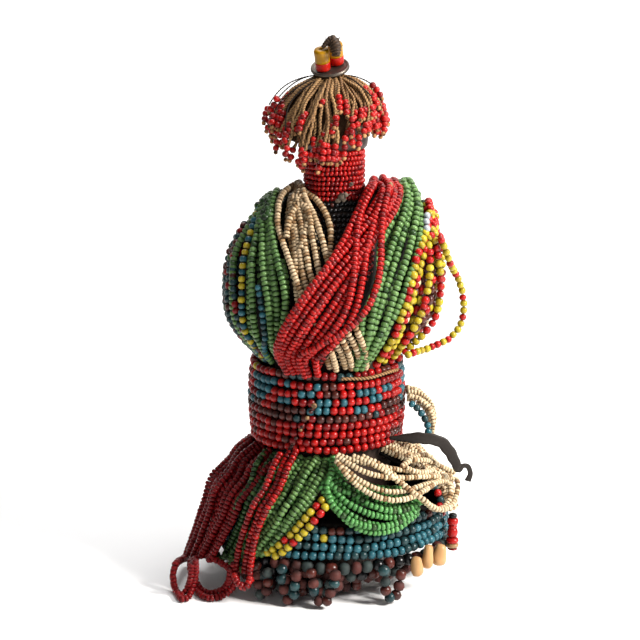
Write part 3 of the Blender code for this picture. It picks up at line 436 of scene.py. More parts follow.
def onRay(pixels, y, floor):
    # the places behind pixels at a depth y, or where the line of sight meets the level of the floor
    found = []
    for (px, py), ownY in zip(pixels, np.broadcast_to(y, (len(pixels),))):
        across, rise = (px - middle) / focal, (middle - py) / focal
        ray = np.array([across, math.cos(lookDown) + rise * math.sin(lookDown),
                        rise * math.cos(lookDown) - math.sin(lookDown)])
        reach = (ownY - cameraValues["place"][1]) / ray[1]
        if cameraValues["place"][2] + reach * ray[2] < floor:
            reach = (floor - cameraValues["place"][2]) / ray[2]
        found.append(np.array(cameraValues["place"]) + reach * ray)
    return np.array(found)


def unlifted(angle, along):
    return 0.0 * along


def underPixels(surface, liftAt, size, courses):
    # each course of pixels as (angle, along) on the lifted surface, with the nearer side taken
    values = {"reach": 100, "angles": 601, "alongs": 301, "hit": 0.6, "slack": 1.5, "rim": 58, "rounds": 3}
    angle, along = np.meshgrid(np.radians(np.linspace(-values["reach"], values["reach"], values["angles"])),
                               np.linspace(0.0, 1.0, values["alongs"]))
    x, y, depth = seenAt(lifted(surface, angle, along, liftAt(angle, along) - 0.5 * size))
    traced = []
    for pixels in courses:
        found = []
        for px, py in pixels:
            miss = (x - px) ** 2 + (y - py) ** 2
            near = miss < max(values["slack"] * miss.min(), values["hit"])
            best = np.argmin(np.where(near, depth, 9.0) + 0.0005 * miss)
            found.append((angle.flat[best], along.flat[best]))
        found = np.array(found)
        if len(found) > 4 and np.abs(found[:, 0]).max() > math.radians(values["rim"]):
            for _ in range(values["rounds"]):  # pixels say little near the edge of the view
                found[1:-1] = (found[:-2] + 2 * found[1:-1] + found[2:]) / 4
        traced.append(found)
    return traced


def fanCourses(first, second, number, knots=9):
    # courses of pixels spread evenly between two outermost ones
    ends = []
    for course in (first, second):
        ends.append(pathThrough(np.array([(px, py, 0.0) for px, py in course]), knots)[:, :2])
    return [ends[0] + (ends[1] - ends[0]) * share for share in np.linspace(0.0, 1.0, number)]


def layCourse(surface, liftAt, course, sink, count):
    points = surface(course[:, 0], course[:, 1])
    steps = np.linalg.norm(np.diff(points, axis=0), axis=1) + 0.00001
    lengths = np.concatenate([[0.0], np.cumsum(steps)])
    at = np.linspace(0.0, lengths[-1], count)
    angle = smoothThrough(lengths, course[:, 0], at)
    along = np.clip(smoothThrough(lengths, course[:, 1], at), 0.0, 1.0)
    return lifted(surface, angle, along, liftAt(angle, along) - sink)


def overShoulder(surface, course, first, second):
    # the rest of a strand: on from the top of its course, down the back between its hank's edges
    values = {"across": (0.05, 0.95, 46), "ways": (0.2, 0.62, 64), "step": 0.07, "knots": 12}
    across, way = np.meshgrid(np.linspace(*values["across"]), np.linspace(*values["ways"]))
    angle, along = between(first, second, across, way)
    gap = np.linalg.norm(surface(angle, along) - surface(course[-1, 0], course[-1, 1]), axis=-1)
    best = np.unravel_index(np.argmin(gap), gap.shape)
    ways = np.linspace(way[best] + values["step"], 1.0, values["knots"])
    angle, along = between(first, second, across[best], ways)
    return np.concatenate([course, np.stack([angle, along], -1)])


# building shapes from beads, cords and turned forms
def newShape():
    return {"verts": [], "corners": [], "sizes": [], "finish": [], "tone": [], "ends": [], "count": 0}


def addFaces(shape, verts, faces, finish, tone=0.5, ends=0.0):
    verts = np.asarray(verts, float).reshape(-1, 3)
    for array, indices in zip(faces, finish if isinstance(finish, list) else [finish] * len(faces)):
        array = np.asarray(array)
        shape["corners"].append((array + shape["count"]).ravel())
        shape["sizes"].append(np.full(len(array), array.shape[1]))
        shape["finish"].append(np.broadcast_to(np.asarray(indices), (len(array),)))
    shape["verts"].append(verts)
    shape["tone"].append(np.broadcast_to(np.asarray(tone, float), (len(verts),)))
    shape["ends"].append(np.broadcast_to(np.asarray(ends, float), (len(verts),)))
    shape["count"] += len(verts)


def makePiece(shape, name, finishNames, nodes, slot):
    mesh = bpy.data.meshes.new(name)
    verts = np.concatenate(shape["verts"])
    corners = np.concatenate(shape["corners"]).astype(np.int32)
    sizes = np.concatenate(shape["sizes"])
    starts = np.concatenate([[0], np.cumsum(sizes)[:-1]]).astype(np.int32)
    mesh.vertices.add(len(verts))
    mesh.vertices.foreach_set("co", verts.ravel().astype(np.float32))
    mesh.loops.add(len(corners))
    mesh.loops.foreach_set("vertex_index", corners)
    mesh.polygons.add(len(sizes))
    mesh.polygons.foreach_set("loop_start", starts)
    mesh.polygons.foreach_set("material_index", np.concatenate(shape["finish"]).astype(np.int32))
    mesh.polygons.foreach_set("use_smooth", np.ones(len(sizes), dtype=bool))
    for key, attribute in (("tone", "beadTone"), ("ends", "beadEndGrimeAndShade")):
        layer = mesh.attributes.new(attribute, "FLOAT", "POINT")
        layer.data.foreach_set("value", np.concatenate(shape[key]).astype(np.float32))
    mesh.update(calc_edges=True)
    for finishName in finishNames:
        mesh.materials.append(finishes[finishName])
    piece = bpy.data.objects.new(name, mesh)
    bpy.context.scene.collection.objects.link(piece)
    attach(piece, "root")
    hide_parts(*nodes)
    print("made", name, "with", int(np.sum(sizes - 2)), "triangles")


seedProfile = ((-0.5, 0.60), (-0.22, 1.0), (0.22, 1.0), (0.5, 0.60))
ringProfile = ((-0.5, 0.56), (-0.34, 0.92), (0.0, 1.0), (0.34, 0.92), (0.5, 0.56))
roundProfile = ((-0.5, 0.36), (-0.32, 0.84), (0.0, 1.0), (0.32, 0.84), (0.5, 0.36))


def lengthsAlong(path):
    return np.concatenate([[0.0], np.cumsum(np.linalg.norm(np.diff(path, axis=0), axis=1))])


def gridFaces(rows, columns, closed=False):
    # the four corners of each face between rows of points that go round
    k, s = np.meshgrid(np.arange(rows if closed else rows - 1), np.arange(columns), indexing="ij")
    after, below = (s + 1) % columns, (k + 1) % rows
    return np.stack([k * columns + s, k * columns + after, below * columns + after, below * columns + s],
                    -1).reshape(-1, 4)


def capFaces(rows, sides):
    return np.array([np.arange(sides)[::-1], (rows - 1) * sides + np.arange(sides)])


def addBeads(shape, beads, profile, sides, random):
    # each bead is (centre, axis, radius, length, finish, tone)
    count, rings = len(beads), len(profile)
    centre, axis, radius, length, finish, tone = [np.array(column) for column in zip(*beads)]
    axis = normalised(axis)
    guide = np.where(np.abs(axis[:, 2:3]) < 0.9, [[0.0, 0.0, 1.0]], [[1.0, 0.0, 0.0]])
    sideways = normalised(np.cross(axis, guide))
    upwards = np.cross(axis, sideways)
    spin = random.uniform(0, 2 * math.pi, (count, 1)) + 2 * math.pi * np.arange(sides)[None, :] / sides
    ringDirection = (sideways[:, None, :] * np.cos(spin)[..., None]
                     + upwards[:, None, :] * np.sin(spin)[..., None])
    heights = np.array([knot[0] for knot in profile])
    widths = np.array([knot[1] for knot in profile])
    verts = (centre[:, None, None, :]
             + axis[:, None, None, :] * (heights[None, :, None, None] * length[:, None, None, None])
             + ringDirection[:, None, :, :] * (widths[None, :, None, None] * radius[:, None, None, None]))
    quads, caps = gridFaces(rings, sides), capFaces(rings, sides)
    starts = (np.arange(count) * rings * sides)[:, None, None]
    # darkest at the bead ends: painted shade where neighbouring beads meet, with some grime
    ends = np.clip((np.abs(heights) - 0.25) / 0.25, 0, 1)
    addFaces(shape, verts, [(starts + quads[None]).reshape(-1, 4), (starts + caps[None]).reshape(-1, sides)],
             [np.repeat(finish, len(quads)), np.repeat(finish, 2)],
             np.repeat(tone, rings * sides), np.tile(np.repeat(ends, sides), count))


def placesAlong(path, lengths, at):
    return np.stack([np.interp(at, lengths, path[:, i]) for i in range(3)], -1)


def stringBeads(path, size, pitch, pick, random, slack=0.02):
    # beads threaded along a path; pick(number) gives each one's finish
    uneven, tilt = 0.03, 0.05
    lengths = lengthsAlong(path)
    beads, at, number = [], 0.5 * pitch, 0
    while at < lengths[-1] - 0.35 * pitch:
        own = pitch * (1 + random.normal(0, 2.0 * uneven))
        centre, ahead, behind = placesAlong(path, lengths, (at, min(at + size, lengths[-1]),
                                                            max(at - size, 0.0)))
        axis = normalised(ahead - behind) + random.normal(0, tilt, 3)
        centre = centre + random.normal(0, slack * size, 3)
        radius = 0.5 * size * (1 + random.normal(0, uneven))
        beads.append((centre, axis, radius, 0.98 * own, pick(number),
                      float(np.clip(random.normal(0.5, 0.20), 0, 1))))
        at += max(own, 0.5 * pitch)
        number += 1
    return beads


def framesAlong(path):
    tangents = normalised(np.gradient(path, axis=0))
    sideways = np.zeros_like(path)
    guide = np.array([0.0, 0.0, 1.0]) if abs(tangents[0][2]) < 0.9 else np.array([1.0, 0.0, 0.0])
    sideways[0] = normalised(np.cross(tangents[0], guide))
    for i in range(1, len(path)):
        turned = sideways[i - 1] - tangents[i] * np.dot(sideways[i - 1], tangents[i])
        sideways[i] = normalised(turned)
    return tangents, sideways, np.cross(tangents, sideways)


def addTube(shape, path, radius, finish, sides, lobes=0, depth=0.0, turn=0.003, tone=0.5):
    # a cord along a path; lobes plies wind round it once every turn metres
    path = np.asarray(path, float)
    count = len(path)
    radius = np.broadcast_to(np.asarray(radius, float), (count,))
    _, sideways, upwards = framesAlong(path)
    theta = 2 * math.pi * np.arange(sides) / sides
    wind = 2 * math.pi * lengthsAlong(path)[:, None] / turn
    lobe = np.cos(lobes * (theta[None, :] - wind)) if lobes else np.zeros((count, sides))
    reach = radius[:, None] * (1 + depth * lobe)
    verts = (path[:, None, :] + sideways[:, None, :] * (reach * np.cos(theta))[..., None]
             + upwards[:, None, :] * (reach * np.sin(theta))[..., None])
    # the ply grooves are darkened in the finish as painted shade
    groove = 0.5 - 0.5 * lobe if lobes else np.zeros((count, sides))
    addFaces(shape, verts, [gridFaces(count, sides), capFaces(count, sides)], finish, tone, groove.ravel())


def addTurned(shape, profile, finish, segments=48, place=Matrix.Identity(4), wobble=None, closed=False,
              tone=0.5):
    # a form turned about z; it starts and ends on the axis, or is a closed ring
    profile = np.asarray(profile, float)
    theta = 2 * math.pi * np.arange(segments) / segments
    body = profile if closed else profile[1:-1]
    radius = np.broadcast_to(body[:, 0:1], (len(body), segments)).copy()
    if wobble is not None:
        radius = radius * wobble(theta[None, :], body[:, 1:2])
    verts = np.stack([radius * np.cos(theta), radius * np.sin(theta),
                      np.broadcast_to(body[:, 1:2], radius.shape)], -1).reshape(-1, 3)
    rings = len(body)
    faces = [gridFaces(rings, segments, closed)[:, [0, 3, 2, 1]]]
    if not closed:
        verts = np.vstack([verts, [[0, 0, profile[0, 1]], [0, 0, profile[-1, 1]]]])
        first, last = rings * segments, rings * segments + 1
        ring = np.arange(segments)
        faces.append(np.stack([np.full(segments, first), ring, (ring + 1) % segments], -1))
        low = (rings - 1) * segments
        faces.append(np.stack([np.full(segments, last), low + (ring + 1) % segments, low + ring], -1))
    matrix = np.array(place)
    verts = verts @ matrix[:3, :3].T + matrix[:3, 3]
    addFaces(shape, verts, faces, finish, tone)


def addSlab(shape, outer, inner, finish, tone=0.3):
    # a closed slab between two grids of points (rows, columns, 3)
    rows, columns = outer.shape[:2]
    verts = np.concatenate([outer.reshape(-1, 3), inner.reshape(-1, 3)])
    shift = rows * columns
    k, c = np.meshgrid(np.arange(rows - 1), np.arange(columns - 1), indexing="ij")
    a = (k * columns + c).ravel()
    top = np.stack([a, a + 1, a + columns + 1, a + columns], -1)
    bottom = top[:, ::-1] + shift
    edge = list(range(columns)) + [r * columns + columns - 1 for r in range(1, rows)]
    edge += [(rows - 1) * columns + c for c in range(columns - 2, -1, -1)]
    edge += [r * columns for r in range(rows - 2, 0, -1)]
    edge = np.array(edge)
    following = np.roll(edge, -1)
    rim = np.stack([following, edge, edge + shift, following + shift], -1)
    addFaces(shape, verts, [top, bottom, rim], finish, tone)


def picker(random, choices, pattern=None, muddle=0.0):
    # beads in a repeating pattern, or drawn by weight; muddle is the share drawn at random within a pattern
    indices = [choice[0] for choice in choices]
    weights = np.array([choice[1] for choice in choices], float)
    weights = weights / weights.sum()
    offset = int(random.integers(0, 1000))

    def pick(number):
        if pattern and random.random() >= muddle:
            return pattern[(number + offset) % len(pattern)]
        return int(random.choice(indices, p=weights))

    return pick


usualHank = {"steps": 90, "end": 1.0, "behind": 0, "behindFrom": 0.56, "crowdLimit": 2.2, "crowdSpan": 6,
             "ripple": 0.12, "layerDrop": 0.8, "layerShift": 0.31, "liningDepth": 1.7,
             "liningThickness": 0.0012, "sides": 8, "sunkSides": 6, "sunkPitch": 1.35,
             "profile": seedProfile, "tracedSides": 8, "tracedProfile": ringProfile}


def addHank(shape, surface, edges, names, values, random, liftAt=unlifted):
    # strands laid side by side between two edges, in layers, over a dark lining that is painted shade showing
    # in the gaps between strands
    values = {**usualHank, **values}
    size, strands, span = values["bead"], values["strands"], values["crowdSpan"]
    ways = np.linspace(0.0, values["end"], values["steps"])
    (angleA, alongA), (angleB, alongB) = edgeAt(edges[0], ways), edgeAt(edges[1], ways)
    room = np.linalg.norm(surface(angleA, alongA) - surface(angleB, alongB), axis=-1)
    crowd = np.clip(strands * size / np.maximum(room, 0.002) - 1.0, 0.0, values["crowdLimit"])
    smoothed = np.convolve(np.pad(crowd, span, mode="edge"), np.ones(2 * span + 1) / (2 * span + 1),
                           mode="valid")
    laid = [(layer, i, (i + 0.5 + 0.5 * layer) / strands, 0)
            for layer in values["levels"] for i in range(strands - layer)]
    laid += [(0.5, i, (i + 0.5) / values["behind"], int(values["behindFrom"] * len(ways)))
             for i in range(values["behind"])]
    paths = []
    for layer, i, across, start in laid:
        phase, rate = random.uniform(0, 2 * math.pi), random.uniform(0.6, 1.7)
        sway = values["wander"] / strands * np.sin(2 * math.pi * rate * ways + phase)
        angle, along = between(*edges, across + sway, ways)
        along = np.clip(along, 0.0, 1.0)
        pile = ((i * goldenShare + values["layerShift"] * layer) % 1.0) * smoothed * size
        ripple = values["ripple"] * size * np.sin(2 * math.pi * random.uniform(1, 3) * ways + phase)
        lift = liftAt(angle, along) - 0.5 * size - layer * values["layerDrop"] * size - pile + ripple
        paths.append((layer, lifted(surface, angle, along, lift)[start:]))
    for layer, path in paths:
        pitch, sides = values["pitch"], values["sides"]
        if layer > 0:  # sunk strands are plainer
            pitch, sides = values["sunkPitch"] * pitch, values["sunkSides"]
        beads = stringBeads(path, size, pitch, values["pick"](random, layer), random)
        addBeads(shape, beads, values["profile"], sides, random)
    # the lining is coloured near black as painted shade in the gaps between the strands
    acrossGrid = np.linspace(0.06, 0.94, 13)[None, :]
    waysGrid = np.linspace(ways[0], ways[-1], 36)
    angle, along = between(*edges, acrossGrid, waysGrid[:, None])
    pileGrid = np.interp(waysGrid, ways, smoothed)[:, None] * size
    below = liftAt(angle, along) - values["liningDepth"] * size - pileGrid
    inner = lifted(surface, angle, along, below - values["liningThickness"])
    addSlab(shape, lifted(surface, angle, along, below), inner, names.index("darkFibreAndShadeBacking"))


def addTraced(shape, surface, courses, values, random, liftAt=unlifted, edges=None):
    # strands that follow the photograph; each is {"at": pixels, "sink": share of a bead, and its own values}
    usual = {**usualHank, **values, "sink": 0.0, "over": True, "toBelt": True}
    usual["profile"] = usual["tracedProfile"]
    traced = underPixels(surface, liftAt, usual["bead"], [course["at"] for course in courses])
    for course, found in zip(courses, traced):
        own = {**usual, **course}
        found = found[::-1] if edges else found
        if edges and own["toBelt"] and found[0][1] < 0.99:
            found = np.concatenate([[(found[0][0], 1.0)], found])
        if edges and own["over"]:
            found = overShoulder(surface, found, *edges)
        path = layCourse(surface, liftAt, found, (0.5 + own["sink"]) * own["bead"], 40 + 3 * len(found))
        if "tail" in own:
            tail = onRay(own["tail"], own["tailY"], own["floor"])
            path = pathThrough(np.concatenate([path[::3], tail]), 160)
        beads = stringBeads(path, own["bead"], own["pitch"], own["pick"](random), random)
        addBeads(shape, beads, own["profile"], own["tracedSides"], random)


def layHank(surface, edges, names, courses, values, random, liftAt=unlifted, over=False):
    shape = newShape()
    addHank(shape, surface, edges, names, values, random, liftAt)
    addTraced(shape, surface, courses, values, random, liftAt, edges if over else None)
    return shape


def glassPattern(random, shares, names, pattern=None, muddle=0.0):
    # shares maps a finish to its share; names gives the piece's material order
    choices = [(names.index(name), share) for name, share in shares.items()]
    order = [names.index(name) for name in pattern] if pattern else None
    return picker(random, choices, order, muddle)


def mixOf(names, shares, shadePerLayer=0.0, pattern=None, muddle=0.0):
    # draws each strand's beads; with each layer down, a share of the first finish passes to the second,
    # darker one: painted shade on the sunk strands
    def pick(random, layer=0):
        own = dict(shares)
        if shadePerLayer:
            first, second = list(shares)[:2]
            own[first], own[second] = shares[first] - shadePerLayer * layer, shares[second] + shadePerLayer * layer
        return glassPattern(random, own, names, pattern, muddle)

    return pick


# wooden figure
def buildFigure():
    values = {"segments": 72, "toolMarks": 0.012}
    random = np.random.default_rng(3)
    neck = neckInner - clear
    profile = [
        (0.0, headTop), (0.45 * headRadius, headTop - 0.04 * headHeight),
        (0.80 * headRadius, headTop - 0.20 * headHeight),
        (headRadius, headTop - 0.50 * headHeight), (headRadius, headBase + 0.10 * headHeight),
        (0.93 * headRadius, headBase + clear), (neck, headBase + clear), (neck, neckBase),
        (shoulderRadius, collarBase), (bodyRadius, collarBase - 0.1 * torsoHeight), (bodyRadius, skirtHeight),
        (0.5 * (bodyRadius + footRadius), 0.25 * skirtHeight), (footRadius, 0.0015),
        (footRadius - 0.001, 0.0), (0.0, 0.0),
    ]
    dense = [np.array(profile[0])]
    for before, after in zip(profile, profile[1:]):
        before, after = np.array(before), np.array(after)
        steps = max(2, int(np.linalg.norm(after - before) / 0.004))
        dense += [before + (after - before) * k / steps for k in range(1, steps + 1)]
    dense = np.array(dense)
    soft = dense.copy()
    soft[1:-4] = (dense[:-5] + 2 * dense[1:-4] + dense[2:-3]) / 4
    phases = random.uniform(0, 2 * math.pi, 6)

    def marks(theta, height):
        wave = sum(np.sin((5 + 3 * k) * theta + phases[k] + 260 * (1 + 0.3 * k) * height) for k in range(6))
        return 1 - values["toolMarks"] * (0.5 + wave / 12)

    shape = newShape()
    addTurned(shape, soft, 0, values["segments"], wobble=marks)
    makePiece(shape, "woodenFigure", ["darkWood"], ["wooden_figure"], "dark_wood")


def ringBeads(radiusX, radiusY, height, size, pitch, pick, random, start=180, end=540, shiftX=0.0,
              sag=0.0003):
    # a row of beads wound round the figure, angles in degrees from the front
    angles = np.radians(np.linspace(start, end, int(3 * abs(end - start)) + 2))
    phase = random.uniform(0, 2 * math.pi, 3)
    lift = sum(np.sin((2 + 3 * k) * angles + phase[k]) for k in range(3)) * sag / 2
    path = np.stack([radiusX * np.sin(angles) + shiftX, -radiusY * np.cos(angles), height + lift], -1)
    if abs(end - start) >= 359:  # a whole number of beads closes the ring
        around = np.linalg.norm(np.diff(path, axis=0), axis=1).sum()
        pitch = around / round(around / pitch)
    return stringBeads(path, size, pitch, pick, random)


def buildNeck():
    # knots are their angle, height and size; whiskers their angle and height
    values = {"size": 0.00280, "pitch": 0.00235, "collarSize": 0.00265, "collarPitch": 0.0025,
              "knots": ((12, 0.0024, 0.0038), (20, 0.0034, 0.0030), (6, 0.0004, 0.0028), (17, 0.0010, 0.0026),
                        (32, 0.0090, 0.0024)),
              "whiskers": ((16, 0.0026), (2, 0.0010)), "sweep": 14, "thread": (0.00035, 0.00012)}
    random = np.random.default_rng(11)
    names = ["redGlass", "deepRedGlass", "darkFibreAndShadeBacking", "greyThread"]
    fibre, thread = names.index("darkFibreAndShadeBacking"), names.index("greyThread")
    shape = newShape()
    for row in range(neckRows):
        pick = glassPattern(random, {"redGlass": 0.72, "deepRedGlass": 0.28}, names)
        radius = neckRadius - 0.5 * neckBead
        beads = ringBeads(radius, radius, headBase - (row + 0.5) * neckRow, values["size"], values["pitch"],
                          pick, random)
        addBeads(shape, beads, roundProfile, 8, random)
    # a near-black ring behind the beads, painted shade in the gaps between them
    outer, inner = neckRadius - 0.9 * neckBead, neckInner + 0.0001
    high, low = headBase - 0.0006, neckBase + 0.0006
    addTurned(shape, [(outer, high), (outer, low), (inner, low), (inner, high)], fibre, 40, closed=True)
    # the tied ends of the thread at the front
    for k, (degrees, height, size) in enumerate(values["knots"]):
        angle = math.radians(degrees)
        place = (neckRadius * math.sin(angle), -neckRadius * math.cos(angle), neckBase + height)
        addBeads(shape, [(place, random.normal(0, 1, 3), 0.5 * size, 1.2 * size, thread, 0.2 + 0.2 * k)],
                 roundProfile, 10, random)
    for degrees, height in values["whiskers"]:
        angles = np.radians(np.linspace(degrees, degrees + values["sweep"], 8))
        path = np.stack([(neckRadius + 0.0004) * np.sin(angles), -(neckRadius + 0.0004) * np.cos(angles),
                         neckBase + height + 0.0016 * np.linspace(0, 1, 8) ** 2], -1)
        addTube(shape, path, np.linspace(*values["thread"], 8), thread, 6)
    makePiece(shape, "neckRows", names, ["red_neck_rows"], "red_glass")

    names = ["blackGlass", "brownGlass"]
    shape = newShape()
    for row in range(collarRows):
        share = (row + 0.5) / collarRows
        radius = neckInner + clear + (shoulderRadius - neckInner) * share + 0.42 * neckBead
        pick = glassPattern(random, {"blackGlass": 0.93, "brownGlass": 0.07}, names)
        beads = ringBeads(radius, radius, collarTop - (row + 0.5) * neckRow, values["collarSize"],
                          values["collarPitch"], pick, random)
        addBeads(shape, beads, roundProfile, 8, random)
    makePiece(shape, "collarRows", names, ["black_collar_rows"], "black_glass")


def buildBelt():
    # the seam's knots are counted in sixteenths of its length, from its top to its foot
    values = {"size": 0.0046, "pitch": 0.00430, "sag": 0.0004, "cord": (10, 62), "cordRadius": 0.0008,
              "ply": 0.0042, "seam": (0, 1, 2, 4, 7, 8, 11, 13, 14, 15, 16), "seamAngle": -9, "seamTurn": 20,
              "seamTop": 0.0165, "seamHeight": 0.0275}
    random = np.random.default_rng(17)
    names = ["redGlass", "blueGlass", "tealGlass", "brownGlass", "deepRedGlass", "yellowGlass", "darkFibreAndShadeBacking",
             "tanGlass"]
    mixed = ({"redGlass": 0.30, "deepRedGlass": 0.22, "tealGlass": 0.22, "brownGlass": 0.20,
              "yellowGlass": 0.06},
             {"redGlass": 0.45, "blueGlass": 0.36, "deepRedGlass": 0.10, "brownGlass": 0.09},
             {"redGlass": 0.40, "blueGlass": 0.42, "brownGlass": 0.18},
             {"redGlass": 0.50, "blueGlass": 0.36, "deepRedGlass": 0.14},
             {"redGlass": 0.34, "blueGlass": 0.44, "brownGlass": 0.22},
             {"brownGlass": 0.62, "tealGlass": 0.18, "deepRedGlass": 0.20},
             {"redGlass": 0.62, "deepRedGlass": 0.30, "brownGlass": 0.08},
             {"redGlass": 0.70, "deepRedGlass": 0.26, "brownGlass": 0.04},
             {"redGlass": 0.50, "deepRedGlass": 0.40, "brownGlass": 0.10},
             {"redGlass": 0.86, "deepRedGlass": 0.14})
    shapes = [newShape(), newShape()]
    for row in range(beltRows):
        height = beltTop - (row + 0.5) * beltBead + (0.0007 if row == 0 else 0)
        radius = beltCrest(height) - 0.5 * beltBead
        draw = glassPattern(random, mixed[row], names)
        run = {"left": 0, "finish": 0}

        def pick(number):  # colours come in short runs
            if run["left"] <= 0:
                run["finish"] = draw(number)
                run["left"] = int(random.choice([1, 2, 2])) if row < 5 else 1
            run["left"] -= 1
            return run["finish"]

        beads = ringBeads(radius, radius, height, values["size"], values["pitch"], pick, random,
                          shiftX=beltShift, sag=values["sag"])
        addBeads(shapes[row // 5], beads, roundProfile, 12, random)
    # near-black rings behind the beads, painted shade in the gaps between them
    matrix = Matrix.Translation((beltShift, 0, 0))
    half = 0.5 * (beltTop - skirtHeight)
    for number, (high, low) in enumerate(((beltTop - 0.001, skirtHeight + half + 0.0003),
                                          (skirtHeight + half - 0.0003, skirtHeight + 0.001))):
        outer, inner = beltRadius - 0.75 * beltBead, beltInner + 0.0001
        addTurned(shapes[number], [(outer, high), (outer, low), (inner, low), (inner, high)],
                  names.index("darkFibreAndShadeBacking"), 64, matrix, closed=True)
    # the seam of small knots where the rows are tied
    tan, brown = names.index("tanGlass"), names.index("brownGlass")
    for k in values["seam"]:
        share = k / 16
        angle = math.radians(values["seamAngle"] - values["seamTurn"] * share)
        height = beltTop - values["seamTop"] - values["seamHeight"] * share
        reach = beltCrest(height) - 0.0006
        place = (reach * math.sin(angle) + beltShift, -reach * math.cos(angle), height)
        addBeads(shapes[0 if height > skirtHeight + half else 1],
                 [(place, random.normal(0, 1, 3), 0.0012 if k % 3 else 0.0016, 0.0024,
                   brown if k % 4 else tan, 0.4)],
                 roundProfile, 8, random)
    makePiece(shapes[0], "mixedBeltRows", names, ["mixed_belt_rows"], "teal_glass")
    makePiece(shapes[1], "redBeltRows", names, ["red_belt_rows"], "red_glass")
    # the twisted cord that takes the top row's place at the right
    angles = np.radians(np.linspace(*values["cord"], 60))
    reach = beltRadius + values["cordRadius"] + clear
    path = np.stack([reach * np.sin(angles) + beltShift, -reach * np.cos(angles),
                     beltTop - 0.0022 + 0.0004 * np.sin(9 * angles)], -1)
    shape = newShape()
    addTube(shape, path, values["cordRadius"], 0, 10, lobes=2, depth=0.24, turn=values["ply"])
    makePiece(shape, "waistCord", ["twistedFibre"], ["waist_cord"], "twisted_fibre")


# hanks over the shoulders; an edge runs from the front of the belt over the shoulder to its back,
# as (degrees from the front, share of the way down)
whiteInner = ((26, 1), (10, 0.77), (1, 0.56), (-2, 0.37), (-5, 0.2), (-32, 0.04), (-90, 0),
              (-125, 0.03), (-158, 0.12), (-172, 0.3), (-177, 0.52), (-179, 0.76), (-179, 1))
whiteGreen = ((-5, 1), (-15, 0.77), (-24, 0.57), (-34, 0.39), (-47, 0.26), (-64, 0.14), (-90, 0.09),
              (-112, 0.12), (-132, 0.2), (-145, 0.34), (-150, 0.54), (-151, 0.76), (-150, 1))
greenMixed = ((-60, 1), (-59, 0.8), (-62, 0.62), (-68, 0.48), (-76, 0.38), (-84, 0.32), (-90, 0.30),
              (-96, 0.32), (-102, 0.38), (-107, 0.48), (-110, 0.62), (-112, 0.8), (-113, 1))
mixedEnd = ((-86, 1), (-86.5, 0.85), (-87, 0.74), (-87.5, 0.66), (-88, 0.61), (-89, 0.58), (-90, 0.57),
            (-91, 0.58), (-92, 0.61), (-92.5, 0.66), (-93, 0.74), (-93.5, 0.85), (-94, 1))
redInner = ((-43, 1), (-29, 0.8), (-15, 0.58), (0, 0.39), (11, 0.2), (33, 0.04), (90, 0),
            (125, 0.03), (156, 0.12), (170, 0.3), (175, 0.52), (178, 0.76), (178, 1))
redGreen = ((-9, 1), (4, 0.81), (15, 0.63), (22, 0.47), (27, 0.32), (48, 0.21), (90, 0.11),
            (112, 0.14), (130, 0.22), (138, 0.35), (140, 0.54), (141, 0.76), (141, 1))
greenInner = ((28, 1), (15, 0.8), (12, 0.63), (17, 0.48), (29, 0.37), (52, 0.25), (90, 0.14),
              (109, 0.17), (126, 0.25), (134, 0.37), (137, 0.55), (138, 0.77), (138, 1))
greenYellow = ((38, 1), (29, 0.8), (34, 0.62), (43, 0.49), (58, 0.38), (75, 0.32), (90, 0.29),
               (99, 0.31), (108, 0.37), (116, 0.48), (121, 0.62), (124, 0.8), (125, 1))
yellowEnd = ((86, 1), (86.5, 0.85), (87, 0.74), (87.5, 0.66), (88, 0.61), (89, 0.58), (90, 0.57),
             (91, 0.58), (92, 0.61), (92.5, 0.66), (93, 0.74), (93.5, 0.85), (94, 1))


def buildWhiteShoulder():
    names = ["shoulderIvory", "tanGlass", "darkFibreAndShadeBacking"]
    values = {"bead": 0.0035, "pitch": 0.0020, "strands": 7, "levels": (2,), "behind": 8, "wander": 0.45,
              "pick": mixOf(names, {"shoulderIvory": 0.7, "tanGlass": 0.3})}
    courses = [
        {"at": ((296, 182), (283, 201), (277, 213), (279, 230), (284, 245), (291, 258), (295, 271),
                (299, 285), (303, 305), (318, 328), (331, 345), (333, 358), (336, 370))},
        {"at": ((299, 184), (296, 200), (291, 210), (292, 224), (297, 239), (299, 256), (297, 276),
                (293, 294), (293, 311), (308, 332), (323, 347), (328, 360), (330, 371)), "sink": 0.5},
        {"at": ((303, 186), (313, 198), (318, 212), (321, 227), (324, 242), (326, 256), (337, 290),
                (350, 318), (356, 340), (366, 370))},
        {"at": ((301, 186), (307, 198), (311, 213), (315, 230), (316, 247), (315, 265), (322, 292),
                (345, 325), (352, 345), (360, 367)), "sink": 0.3},
        {"at": ((299, 187), (300, 200), (303, 213), (308, 227), (306, 256), (308, 271), (316, 297),
                (340, 333), (345, 350), (352, 369)), "sink": 0.2},
        {"at": ((298, 190), (296, 205), (297, 221), (299, 242), (303, 259), (305, 276), (302, 291),
                (312, 312), (336, 340), (341, 355), (346, 371)), "sink": 0.4},
        {"at": ((306, 187), (317, 198), (325, 210), (330, 224), (331, 239), (330, 252), (341, 285),
                (354, 316), (361, 342), (370, 366)), "sink": 0.5},
        {"at": ((299, 187), (291, 197), (286, 209), (286, 226), (291, 242), (297, 258), (301, 276)),
         "sink": 1.1},
        {"at": ((287, 240), (288, 226), (292, 213), (299, 205), (306, 207), (310, 218), (312, 233)),
         "over": False, "toBelt": False, "sink": -0.2},
        {"at": ((300, 250), (304, 232), (309, 214), (308, 203), (301, 196), (291, 197)), "over": False,
         "toBelt": False, "sink": 0.1},
    ]
    shape = layHank(torsoPoint, (whiteInner, whiteGreen), names, courses, values, np.random.default_rng(21),
                    over=True)
    makePiece(shape, "whiteShoulderStrands", names, ["white_shoulder_strands"], "white_glass")


